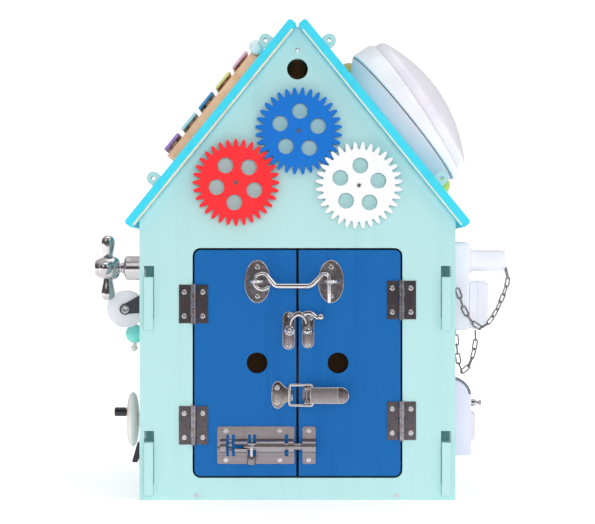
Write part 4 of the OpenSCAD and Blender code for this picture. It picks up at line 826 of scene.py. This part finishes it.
def plate(name, outline, thickness, finish, body, rim=0.5, out=0.0, edge=None):
    """A flat plate on a door with a rounded rim, in a second finish if edge names one. outline is (x, z)
    in millimetres, and out is the distance of the plate's back from the door."""
    back, front = DOOR_FACE - out, DOOR_FACE - out - thickness
    mesh = bmesh.new()
    low = [mesh.verts.new((x / 1000, back / 1000, z / 1000)) for x, z in outline]
    high = [mesh.verts.new((x / 1000, front / 1000, z / 1000)) for x, z in outline]
    mesh.faces.new(low)
    front_face = mesh.faces.new(high[::-1])
    join_rings(mesh, [low, high])
    bmesh.ops.recalc_face_normals(mesh, faces=mesh.faces)
    round_edges(mesh, list(front_face.edges), rim)
    piece = make_piece(name, mesh, FINISH[finish], body, 50)
    # The rim's sides in the edge finish, a brighter metal, are a painted highlight
    if edge:
        piece.data.materials.append(FINISH[edge])
        for polygon in piece.data.polygons:
            polygon.material_index = int(abs(polygon.normal.y) < 0.95)
    return piece


def stadium(x, z, width, height, steps=12):
    """Outline of a plate with fully round ends."""
    half = width / 2
    ends = []
    for turn, sign in ((0, 1), (180, -1)):
        turns = [math.radians(turn + 180 * k / steps) for k in range(steps + 1)]
        ends += [(x + half * math.cos(a), z + sign * (height / 2 - half) + half * math.sin(a)) for a in turns]
    return ends


def painted_highlight_rim(name, outline, front, body, source, bead=0.45):
    """Painted highlight: a chrome bead round a plate whose face lies at the depth front, in millimetres."""
    sunk, inside, sides = 0.25, 0.8, 10
    mesh = bmesh.new()
    rings = []
    for k, (x, z) in enumerate(outline):
        ahead, behind = outline[(k + 1) % len(outline)], outline[k - 1]
        side = Vector((ahead[1] - behind[1], 0, behind[0] - ahead[0])).normalized()
        middle = Vector((x, front + sunk, z)) - side * bead * inside
        rings.append(ring_of_verts(mesh, middle, bead * side, bead * Vector((0, 1, 0)), sides))
    join_rings(mesh, rings, closed=True)
    bmesh.ops.recalc_face_normals(mesh, faces=mesh.faces)
    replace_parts(make_piece(name, mesh, FINISH["wire_chrome"], body, 80), source)


def oval_rims():
    """The chrome bead round each of the cabin hook's two oval plates, a painted highlight."""
    turns = [2 * math.pi * k / 72 for k in range(72)]
    for source, body in (("hook_plate_left", "door_left"), ("hook_plate_right", "door_right")):
        low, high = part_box(source)
        x, z = (low[0] + high[0]) * 500, (low[2] + high[2]) * 500
        wide, tall = (high[0] - low[0]) * 500, (high[2] - low[2]) * 500
        ring = [(x + wide * math.cos(a), z + tall * math.sin(a)) for a in turns]
        painted_highlight_rim(source + "_rim", ring, PLATE_FACE, body, source)


oval_rims()


def beads_on_rail():
    """The five threaded beads, each in its own paint."""
    paints = [enamel("bead_red", 226, 60, 56), enamel("bead_yellow", 244, 200, 50),
              enamel("bead_green", 80, 170, 90), enamel("bead_blue", 50, 120, 200),
              enamel("bead_orange", 238, 140, 60)]
    parts = sorted(island_meshes("rail_beads"), key=lambda part: -centre(part).z)
    for i, (part, paint) in enumerate(zip(parts, paints)):
        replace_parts(make_piece(f"rail_bead_{i + 1}", part, paint, "rail_beads"), "rail_beads")


beads_on_rail()


# In metres: the upper chain leans out to the front between its low point and its plug, and most at the
# height CHAIN_BEND, so that the lower plug can be pulled out past it
CHAIN_LOW, CHAIN_BEND, CHAIN_PLUG = 0.172, 0.2165, 0.231
CHAIN_LEAN = 0.0275
CHAIN_SIDE, CHAIN_SIDE_FADE = 0.186, 0.006


def lean_out(at):
    """The upper chain's lean at a point, only on its side next to the plugs."""
    share = min(max((at.x - CHAIN_SIDE) / CHAIN_SIDE_FADE, 0.0), 1.0)
    rising = (at.z - CHAIN_LOW) / (CHAIN_BEND - CHAIN_LOW)
    falling = (CHAIN_PLUG - at.z) / (CHAIN_PLUG - CHAIN_BEND)
    return share * CHAIN_LEAN * max(min(rising, falling), 0.0)


def chain(source):
    """Hanging chain between its plug and the wall, on no body; the upper one leans out to the front."""
    piece = grown(source, "chain_steel", 0.00015, False)
    if source == "chain_upper":
        for v in piece.data.vertices:
            v.co.y -= lean_out(v.co)
    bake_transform(piece)


chain("chain_upper")
chain("chain_lower")

# Middle line of the pull cord, from the knot inside the wall to the knot below its ball
CORD_ROUTE = [(-135.4, 40, 184), (-139.6, 40, 184), (-143.7, 40, 184), (-154, 40, 184), (-161, 40, 183.6),
              (-167, 40, 182.2), (-172, 40, 179.4), (-175.5, 40, 175.4), (-177.5, 40, 171),
              (-178, 40, 166), (-178, 40, 158), (-178, 40, 150), (-178, 40, 148), (-178.3, 40, 146.4),
              (-178.8, 40, 144), (-179.2, 40, 141.6), (-179.5, 40, 140.2)]
# The first points lie inside the wall; in metres, the cord leaves it at EXIT
POINTS_INSIDE = 4
EXIT = Vector((-0.153, 0.040, 0.184))
KNOT_LOW = Vector((-0.1788, 0.040, 0.1441))
KNOT_INSIDE = Vector((-0.1394, 0.040, 0.184))
CORD_R = 0.002
CORD_FINISH = painted_board("cord_cotton", (232, 228, 220), (196, 192, 184), (246, 244, 240),
                            0.4, 0.85, stretch=(900, 900, 900), bump_depth=0.0001)


def braided_tube(path, radius, sides=16, braid=0.06, closed=False):
    """A tube along a path whose surface has the small humps of a braid, as a bmesh."""
    mesh = bmesh.new()
    rings = []
    count = len(path)
    side = Vector((0, 1, 0))
    run = 0.0
    for i, point in enumerate(path):
        ahead = path[(i + 1) % count] if closed else path[min(i + 1, count - 1)]
        behind = path[(i - 1) % count] if closed else path[max(i - 1, 0)]
        along = (ahead - behind).normalized()
        side = (side - along * side.dot(along)).normalized()
        across = along.cross(side)
        if i:
            run += (point - path[i - 1]).length
        turn = run / radius
        ring = []
        for k in range(sides):
            a = 2 * math.pi * k / sides
            hump = abs(math.sin(2 * a + turn)) * abs(math.sin(2 * a - turn))
            r = radius * (1 - braid + 2 * braid * hump)
            ring.append(mesh.verts.new(point + r * (math.cos(a) * side + math.sin(a) * across)))
        rings.append(ring)
    join_rings(mesh, rings, closed)
    if not closed:
        mesh.faces.new(rings[0][::-1])
        mesh.faces.new(rings[-1])
    return mesh


def knot(name, place, axis):
    """An overhand knot pulled tight, as a closed braided loop."""
    reach, strand, steps = 0.00092, 0.0015, 96
    turn = Vector((0, 0, 1)).rotation_difference(axis).to_matrix()
    path = []
    for i in range(steps):
        t = 2 * math.pi * i / steps
        at = Vector((math.sin(t) + 2 * math.sin(2 * t), math.cos(t) - 2 * math.cos(2 * t),
                     -1.5 * math.sin(3 * t))) * reach
        path.append(place + turn @ at)
    return make_piece(name, braided_tube(path, strand, 12, 0.05, True), CORD_FINISH, "house", 60)


def pull_cord():
    """The pull cord: its free length, the stub through the wall and a knot at each end."""
    route = [Vector(p) / 1000 for p in CORD_ROUTE]
    path = smooth_path([EXIT] + route[POINTS_INSIDE:], 3)
    cord = make_piece("pull_cord", braided_tube(smooth_path(path, 4), CORD_R), CORD_FINISH, "house", 60)
    in_wall = [EXIT.lerp(KNOT_INSIDE, i / 24) for i in range(25)]
    stub = make_piece("pull_cord_stub", braided_tube(in_wall, CORD_R * 0.98), CORD_FINISH, "house", 60)
    low = knot("pull_cord_knot_low", KNOT_LOW, Vector((0, 0, 1)))
    inside = knot("pull_cord_knot_inside", KNOT_INSIDE, Vector((1, 0, 0)))
    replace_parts(cord, "pull_cord")
    for piece in (stub, low, inside):
        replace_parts(piece, "pull_cord")


pull_cord()


# ---- latches, tap, hand wheel and lamp, shaped in full ----

def hook_eyes():
    """Screw eyes of the cabin hook, one on each oval plate."""
    ring, wire, out = 5.9, 1.65, 7.6
    circle = [(ring + wire * math.cos(a), wire * math.sin(a)) for a in
              (2 * math.pi * k / 16 for k in range(17))]
    for side, x in (("left", -40.9), ("right", 33.7)):
        eye = lathe(f"hook_eye_{side}", circle, (x, DOOR_FACE - out, CABIN_Z), (0, 0, 1), "wire_chrome",
                    f"door_{side}", 48, 80)
        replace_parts(eye, f"hook_plate_{side}")


hook_eyes()


def wall_unit_trims():
    """Grey band round the button box's rounded top, with painted shade in the gap under it."""
    middle_x, middle_z, outer, inner = 159.6, 98.9, 20.3, 17.4
    behind_front = -67.1
    arc = [(math.cos(math.radians(a)), math.sin(math.radians(a))) for a in range(8, 91, 6)]
    band = [(middle_x + outer * c, middle_z + outer * s) for c, s in arc] + [(153.2, 119.2), (153.2, 116.6)]
    band += [(middle_x + inner * c, middle_z + inner * s) for c, s in reversed(arc)]
    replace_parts(plate("button_box_band", band, 0.5, "band_grey", "house", 0.12, behind_front), "button_box")
    # A thin black sheet stands for the gap's shade: painted shade
    gap = [(153.2, 116.2), (158.4, 115.6), (162.0, 113.4), (161.2, 111.8), (157.6, 110.4), (153.2, 109.8)]
    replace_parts(plate("button_box_gap_shade", gap, 0.3, "black_plastic", "house", 0.1, behind_front), "button_box")


wall_unit_trims()


def roof_ways(turn=1):
    """Directions down the slope and out of the right roof board, or of the left one for turn -1."""
    return (Vector((turn * math.cos(ROOF_PITCH), 0, -math.sin(ROOF_PITCH))),
            Vector((turn * math.sin(ROOF_PITCH), 0, math.cos(ROOF_PITCH))))


def on_right_roof(along, deep):
    """Place on the right roof board's face: along is measured from the ridge, and deep is its y."""
    down, out = roof_ways()
    return Vector((0, deep, RIDGE_Z)) + along * down + ROOF_FACE * out


def roof_lines():
    """Pale raw line along the lower front edge of each roof board."""
    start, end, deep, thick, low, high = 7, 257, -164.6, 1.1, 0.05, 1.75
    for side, turn in (("roof_left", -1), ("roof_right", 1)):
        down, out = roof_ways(turn)
        mesh = block((start, deep - thick / 2, low), (end, deep + thick / 2, high))
        for v in mesh.verts:
            along, deep_here, up = v.co * 1000
            v.co = (Vector((0, deep_here, RIDGE_Z)) + along * down + up * out) / 1000
        bmesh.ops.bevel(mesh, geom=list(mesh.edges), offset=0.0003, segments=2, profile=0.5, affect="EDGES")
        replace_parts(make_piece(side + "_line", mesh, FINISH["raw_edge"], "house"), side)


roof_lines()


def swan_neck_latch():
    """Two round-ended plates, the ball stud, and the arched lever with its curled handle."""
    z = SWAN_Z
    left, right, mid = -7.9, 9.6, 5.5
    forward = (0, -1, 0)
    left_outline = stadium(left - 0.9, z, 12.2, 38)
    right_outline = stadium(right + 1, z - 0.6, 12.2, 34)
    # Chrome beads round both plates and bright screw steel on their edges are painted highlights
    painted_highlight_rim("swan_left_rim", left_outline[:-1], PLATE_FACE, "door_left", "swan_stud", 0.4)
    painted_highlight_rim("swan_right_rim", right_outline[:-1], PLATE_FACE, "door_right", "swan_base", 0.4)
    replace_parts(plate("swan_left_plate", left_outline, 1.2, "dark_nickel", "door_left", 0.7,
                      edge="screw_steel"), "swan_stud")
    ball = [(5.2, 1.2), (5.2, 2.0), (4.4, 2.9), (2.8, 3.4), (2.2, 4.2), (2.2, 7.6), (2.9, 8.3), (3.3, 9.6),
            (3.3, 11.2), (2.8, 12.6), (1.7, 13.6), (0, 13.9)]
    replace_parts(lathe("swan_stud_ball", ball, (left, DOOR_FACE, z), forward, "chrome", "door_left"),
                "swan_stud")
    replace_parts(plate("swan_right_plate", right_outline, 1.2, "dark_nickel", "door_right", 0.7,
                      edge="screw_steel"), "swan_base")
    rivet = [(5.4, 1.2), (5.4, 2.0), (4.2, 3.6), (2, 3.7), (2, 7.35), (3.4, 7.4), (3.3, 7.9), (2.6, 8.5),
             (1.2, 8.8), (0, 8.8)]
    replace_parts(lathe("swan_pivot_rivet", rivet, (right, DOOR_FACE, z), forward, "chrome", "door_right"),
                "swan_base")
    arch = [(right + 0.2, z + 4.2, mid), (right + 0.2, z + 8.0, mid), (right - 1.6, z + 12.6, mid),
            (right - 5.0, z + 15.8, mid), ((left + right) / 2, z + 16.8, mid), (left + 5.0, z + 15.4, mid),
            (left + 1.4, z + 11.8, mid), (left - 0.1, z + 7.6, mid), (left - 0.6, z + 5.0, mid)]
    arch_radii = [2.3, 2.3, 2.5, 2.7, 2.7, 2.7, 2.5, 2.3, 2.2]
    fork = [(left + 3.9 * math.cos(a), z + 3.9 * math.sin(a), mid)
            for a in (math.radians(-5 + 190 * k / 8) for k in range(9))]
    fork_radii = [1.1] + [1.5] * 7 + [1.1]
    eye = [(2.3, -1.4), (4.2, -1.4), (4.7, -0.9), (4.7, 0.9), (4.2, 1.4), (2.3, 1.4), (2.3, -1.4)]
    handle = [((left + right) / 2 + 3.4, z + 16.0, mid), (right, z + 17.7, mid), (right + 4.4, z + 17.2, mid),
              (right + 8.0, z + 14.6, mid), (right + 10.6, z + 13.3, mid), (right + 13.2, z + 13.9, mid)]
    handle_radii = [2.0, 2.4, 2.4, 2.2, 2.3, 2.8]
    knob = [(0, -3.2), (2.1, -2.6), (3.3, -1.2), (3.7, 0), (3.3, 1.2), (2.1, 2.6), (0, 3.2)]
    knob_place = (right + 13.6, DOOR_FACE - mid, z + 13.9)
    for piece in (
            swept("swan_lever_arch", arch, arch_radii, "chrome", "swan_lever", 0.6),
            swept("swan_lever_fork", fork, fork_radii, "chrome", "swan_lever", 1.0),
            lathe("swan_lever_eye", eye, (right, DOOR_FACE - mid, z), forward, "chrome", "swan_lever"),
            swept("swan_lever_handle", handle, handle_radii, "chrome", "swan_lever", 0.66),
            lathe("swan_lever_knob", knob, knob_place, forward, "chrome", "swan_lever", 32, 80)):
        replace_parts(piece, "swan_lever")


swan_neck_latch()


def slab(name, low, high, edge, finish, body):
    """A block with rounded edges between two corners, in millimetres."""
    mesh = block(low, high)
    round_edges(mesh, list(mesh.edges), edge)
    return make_piece(name, mesh, FINISH[finish], body, 50)


def toggle_catch():
    """The catch plate with its waist and hook."""
    z = TOGGLE_Z
    side = [(-25.9, 5.0), (-25.4, 8.6), (-23.6, 12.0), (-20.6, 13.9), (-18.0, 13.7), (-15.6, 11.4),
            (-12.6, 8.2), (-9.0, 6.2), (-4.9, 5.5)]
    outline = [(x, z + h) for x, h in side] + [(x, z - h) for x, h in reversed(side)]
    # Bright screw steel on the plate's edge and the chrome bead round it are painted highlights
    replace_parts(plate("toggle_catch_plate", outline, 1.2, "dark_nickel", "door_left", 0.7,
                      edge="screw_steel"), "toggle_catch")
    painted_highlight_rim("toggle_catch_rim", outline[::-1], PLATE_FACE, "door_left", "toggle_catch", 0.4)
    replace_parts(slab("toggle_catch_hook", (-6.0, -155.45, z - 5.5), (-4.8, -151.15, z + 5.5), 0.4, "chrome",
                     "door_left"), "toggle_catch")


toggle_catch()


def toggle_lever():
    """Speckled lever plate with folded sides, hinge knuckles and a dark thumb end."""
    z = TOGGLE_Z
    start, end, half, out, lever_face = 12.6, 40.2, 8.1, 8.6, -160.1
    sheet = [(start, z - half), (end, z - half), (end, z + half), (start, z + half)]
    # Bright screw steel on the lever plates' edges is a painted highlight
    pieces = [plate("toggle_lever_plate", sheet, 1.5, "satin_nickel", "toggle_lever", 0.5, out,
                    "screw_steel")]
    thumb_start, thumb_half, thumb_middle, thumb_reach = 39.9, 8.2, 43.4, 7.8
    turns = [math.radians(-90 + 10 * k) for k in range(19)]
    thumb = [(thumb_start, z - thumb_half)]
    thumb += [(thumb_middle + thumb_reach * math.cos(a), z + thumb_half * math.sin(a)) for a in turns]
    thumb += [(thumb_start, z + thumb_half)]
    pieces.append(plate("toggle_lever_thumb", thumb, 1.9, "dark_nickel", "toggle_lever", 0.8, out,
                        edge="screw_steel"))
    whole = [(start, z - half), (26, z - half)] + thumb[:-1] + [(26, z + half), (start, z + half)]
    # The chrome bead round the lever is a painted highlight
    painted_highlight_rim("toggle_lever_rim", whole, lever_face, "toggle_lever", "toggle_lever", 0.4)
    fold = 7.55
    knuckle = [(1.7, 5.9), (4.0, 5.9), (4.2, 6.2), (4.2, 8.1), (4.0, 8.4), (1.7, 8.4), (1.7, 5.9)]
    for k in (-1, 1):
        pieces.append(slab(f"toggle_lever_side_{k + 2}", (8, -159.4, z + k * fold - 0.6),
                           (36.4, -152.8, z + k * fold + 0.6), 0.3, "nickel", "toggle_lever"))
        pieces.append(lathe(f"toggle_lever_knuckle_{k + 2}", knuckle, (9.5, -155.8, z), (0, 0, k), "nickel",
                            "toggle_lever", 32))
    for piece in pieces:
        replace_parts(piece, "toggle_lever")


toggle_lever()


def barrel_bolt():
    """Round bolt with a domed front end, and the turned knob on its handle."""
    rod = [(0, 0), (3.2, 0), (3.75, 0.6), (3.75, 63.9), (3.4, 66.0), (2.4, 67.6), (0, 68.1)]
    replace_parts(lathe("bolt_rod_turned", rod, (-54, -155.2, BOLT_Z), (1, 0, 0), "bolt_steel", "bolt_rod", 48),
                "bolt_rod")
    knob = [(0, 9.2), (2.6, 9.2), (4.1, 9.8), (4.3, 10.6), (4.3, 16.3), (3.9, 17.1), (2.8, 17.5), (0, 17.5)]
    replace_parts(lathe("bolt_knob", knob, (-45.7, -163.6, BOLT_Z), (0, 0, -1), "dark_nickel", "bolt_handle",
                      48), "bolt_handle")


barrel_bolt()


def tap():
    """Chrome tap: stepped body, barrel hub and four waisted arms."""
    deep, z = -70, 231.8
    outward = (-1, 0, 0)
    body = [(0, 0), (15.6, 0), (15.6, 1.0), (14.8, 1.6), (13.0, 2.0), (12.4, 3.0), (12.4, 23.6), (11.8, 25.4),
            (10.2, 26.6), (6.4, 27.2), (5.6, 27.8), (5.6, 29.4), (4.8, 30.0), (4.6, 31.5), (2.6, 31.5),
            (2.6, 49.5), (0, 49.5)]
    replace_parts(lathe("tap_body_turned", body, (-WALL_OUTSIDE, deep, z), outward, "chrome", "house"),
                "tap_body")
    hub = [(2.8, 0), (6.2, 0), (8.4, 0.8), (10.6, 2.6), (12.0, 5.6), (12.4, 9.0), (12.0, 13.0), (11.4, 16.4),
           (10.4, 19.6), (9.0, 22.6), (8.2, 24.2), (7.2, 25.0), (0, 25.0)]
    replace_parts(lathe("tap_hub", hub, (-185, deep, z), outward, "chrome", "tap_handle"), "tap_handle")
    arm = [(0, 3), (4.8, 9), (4.7, 12.0), (4.9, 14.6), (5.7, 18.0), (6.5, 22.0), (6.9, 25.4), (6.8, 28.0),
           (6.1, 30.4), (4.8, 32.2), (2.6, 33.5), (0, 33.8)]
    for i, axis in enumerate(((0, 0, 1), (0, -1, 0), (0, 0, -1), (0, 1, 0))):
        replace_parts(lathe(f"tap_arm_{i + 1}", arm, (-197, deep, z), axis, "chrome", "tap_handle"),
                    "tap_handle")


tap()


def hand_wheel_flange():
    """Stepped flange that carries the hand wheel on the wall."""
    flange = [(0, 0), (19.0, 0), (19.0, 6.0), (18.0, 8.6), (15.6, 10.2), (9.0, 11.4), (7.0, 13.6),
              (7.0, 15.0), (3.0, 15.0), (3.0, 24.8), (0, 24.8)]
    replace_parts(lathe("crank_flange", flange, (-WALL_OUTSIDE, -40, 72.2), (-1, 0, 0), "cream_plastic",
                      "house"), "crank_hub")


hand_wheel_flange()


def lamp_rim(foot, top, out, axis, cross_down):
    """Bright rim of the lamp. Its lower edges lie level on the foot, and the rest leans with the lens."""
    seam_height, steps = 19.9, 160
    # Radius, height along the leaning axis, and for a level edge None and its lift over the seam
    profile = [(80.6, None, 0.0), (82.0, None, 1.2), (82.0, -5.2, 0), (81.6, -4.0, 0), (80.4, -1.6, 0),
               (79.4, -0.4, 0), (78.6, -0.8, 0), (78.4, -1.6, 0), (78.4, -7.4, 0), (76.2, -7.4, 0),
               (76.2, None, 0.0)]
    mesh = bmesh.new()
    rings = []
    for radius, height, lift in profile:
        ring = ring_of_verts(mesh, top, radius * cross_down, radius * Vector((0, 1, 0)), steps)
        for v in ring:
            place = v.co * 1000
            if height is None:
                rise = (seam_height + lift - (place - foot).dot(out)) / axis.dot(out)
            else:
                rise = height
            v.co = (place + rise * axis) / 1000
        rings.append(ring)
    join_rings(mesh, rings, closed=True)
    return make_piece("lamp_rim", mesh, FINISH["lamp_rim_white"], "house")


def push_lamp():
    """Round push lamp: lilac foot, painted seam shade, bright rim leaning down the slope, and the lens."""
    lean = math.radians(5.4)
    down, out = roof_ways()
    foot = on_right_roof(136, -70)
    axis = (math.cos(lean) * out + math.sin(lean) * down).normalized()
    cross_down = (math.cos(lean) * down - math.sin(lean) * out).normalized()
    top = foot + 19.5 * out + 16.5 * axis
    shell = [(60.5, 0), (63, 0), (66.4, 3.0), (71.4, 9.0), (76.4, 14.4), (79.4, 17.6), (80.2, 18.8),
             (80.2, 19.3), (0, 19.3)]
    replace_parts(lathe("lamp_foot", shell, foot, out, "lamp_base_white", "house", 128), "lamp_base")
    # The grey ring in the seam between foot and rim is painted shade
    seam = [(79.4, 18.9), (80.8, 18.9), (80.8, 20.3), (79.4, 20.3), (79.4, 18.9)]
    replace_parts(lathe("lamp_seam_painted_shade", seam, foot, out, "seam_grey", "house", 128), "lamp_base")
    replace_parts(lamp_rim(foot, top, out, axis, cross_down), "lamp_base")
    # The grey ring where the lens meets the rim is painted shade in the line between them
    line = [(77.85, -2.4), (79.3, -2.4), (79.3, -0.2), (77.85, -0.2), (77.85, -2.4)]
    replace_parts(lathe("lamp_lens_line_painted_shade", line, top, axis, "seam_grey", "house", 128), "lamp_base")
    lens_radius, rise, dome_start = 77.8, 21, 9.5
    sphere = (lens_radius ** 2 + rise ** 2) / (2 * rise)
    dome = [(r, dome_start + rise - sphere + math.sqrt(sphere ** 2 - r ** 2)) for r in
            (74.6, 72, 66, 58, 48, 36, 24, 12, 4)]
    skirt = [(75.3, -3), (lens_radius, -3), (lens_radius, 4.6), (77.6, 7.2), (76.8, 9.2), (75.8, 10.2)]
    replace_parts(lathe("lamp_lens_dome", skirt + dome + [(0, dome_start + rise)], top, axis, "lens_white",
                      "lamp_lens", 128, 40), "lamp_lens")


push_lamp()


def bead_rail():
    """Wooden rail behind the lamp with a painted ball on each post."""
    out = roof_ways()[1]
    ends = [on_right_roof(along, 45) for along in (57, 217)]
    ball = [(0, 5.0), (3.6, 5.2), (6.8, 7.3), (9.4, 10.8), (10.5, 14.4), (10.5, 16.8), (9.4, 20.4),
            (6.8, 23.9), (3.6, 25.8), (0, 26.2)]
    post = [(0, 0), (4, 0), (4, 7), (0, 7)]
    for i, (foot, paint) in enumerate(zip(ends, ("olive_paint", "lime_paint"))):
        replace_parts(lathe(f"rail_ball_{i + 1}", ball, foot, out, paint, "house", 48, 80), "bead_rail")
        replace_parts(lathe(f"rail_post_{i + 1}", post, foot, out, "plain_wood", "house", 32), "bead_rail")
    rod_height = 17
    start, end = ends[0] + rod_height * out, ends[1] + rod_height * out
    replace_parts(lathe("rail_rod", [(0, 2), (2.5, 2), (2.5, 158), (0, 158)], start, end - start, "plain_wood",
                      "house", 32), "bead_rail")


bead_rail()


# ---- floor and light ----

def white_floor():
    """Pale floor that brightens with distance. Its front part is dark to everything but the camera, so
    that the chrome has something to reflect."""
    reach, sunk = 6.0, 0.0002
    mesh = bpy.data.meshes.new("floor")
    mesh.from_pydata([(-reach, -reach, 0), (reach, -reach, 0), (reach, reach, 0), (-reach, reach, 0)],
                     [], [(0, 1, 2, 3)])
    floor = add_object("floor", mesh)
    floor.location.z = -sunk
    material, tree, bsdf = start_material("floor_white", (0.9, 0.9, 0.9))
    away = node(tree, "ShaderNodeVectorMath", {"operation": "LENGTH"}, Vector=object_point(tree))
    far = ramp(tree, away.outputs["Value"], 0.35, 1.4)
    place = node(tree, "ShaderNodeSeparateXYZ", Vector=object_point(tree)).outputs
    before = ramp(tree, times(tree, place["Y"], -1.0), 0.6, 1.3)
    kept = math_node(tree, "SUBTRACT", 1.0, times(tree, before, 0.9))
    direct = tree.nodes.new("ShaderNodeLightPath").outputs["Is Camera Ray"]
    kept = math_node(tree, "MAXIMUM", kept, direct)
    glow = offset(tree, times(tree, far, 0.60), 0.45, 0.0, 1.1)
    glow = times(tree, glow, kept)
    set_inputs(bsdf.inputs, Base_Color=mix_colour(tree, kept, (0, 0, 0), (0.85, 0.85, 0.86)), Roughness=0.9,
               Specular_IOR_Level=0.1, Emission_Color=mix_colour(tree, glow, (0, 0, 0), (1, 1, 1)),
               Emission_Strength=1.0)
    mesh.materials.append(material)


# Each lamp's name, place and width in metres, power in watts, and whether shiny pieces mirror it
LAMPS = (
    ("key", (2.1, -3.4, 2.7), 1.5, 22.0, True),
    ("fill", (-2.4, -3.0, 2.4), 2.0, 11.0, True),
    ("top", (0.0, -0.2, 2.8), 2.0, 12.0, True),
    ("low_left", (-0.35, -3.4, 0.5), 0.9, 22.0, False),
    ("low_right", (0.4, -3.4, 0.6), 0.9, 28.0, False),
)
AIM = Vector((0, 0, 0.25))


def studio_lamps():
    """Square area lamps that all point at the middle of the house."""
    for name, place, width, power, mirrored in LAMPS:
        data = bpy.data.lights.new(name, "AREA")
        data.shape = "SQUARE"
        data.size = width
        data.energy = power
        light = add_object(name, data)
        light.location = place
        light.visible_glossy = mirrored
        light.rotation_euler = (AIM - Vector(place)).to_track_quat("-Z", "Y").to_euler()


def surroundings():
    """White backdrop. What the metals mirror is darker in front and far to the left."""
    world = bpy.data.worlds.new("studio")
    bpy.context.scene.world = world
    world.use_nodes = True
    tree = world.node_tree
    tree.nodes.clear()
    direction = tree.nodes.new("ShaderNodeTexCoord").outputs["Generated"]
    parts = node(tree, "ShaderNodeSeparateXYZ", Vector=direction).outputs
    front = ramp(tree, times(tree, parts["Y"], -1.0), 0.1, 0.9)
    surround = mix_colour(tree, front, (0.9, 0.9, 0.92), (0.13, 0.12, 0.12))
    left_side = ramp(tree, times(tree, parts["X"], -1.0), 0.62, 0.86)
    surround = mix_colour(tree, left_side, surround, (0.16, 0.14, 0.14))
    reflected = node(tree, "ShaderNodeBackground", Color=surround, Strength=0.72)
    backdrop = node(tree, "ShaderNodeBackground", Color=(1, 1, 1, 1), Strength=1.05)
    seen = tree.nodes.new("ShaderNodeLightPath").outputs["Is Camera Ray"]
    pick = tree.nodes.new("ShaderNodeMixShader")
    for socket, value in zip(pick.inputs, (seen, reflected.outputs[0], backdrop.outputs[0])):
        link_in(socket, value)
    node(tree, "ShaderNodeOutputWorld", Surface=pick.outputs[0])


white_floor()
studio_lamps()
surroundings()
bpy.context.scene.view_settings.view_transform = "Standard"
bpy.context.scene.view_settings.look = "None"
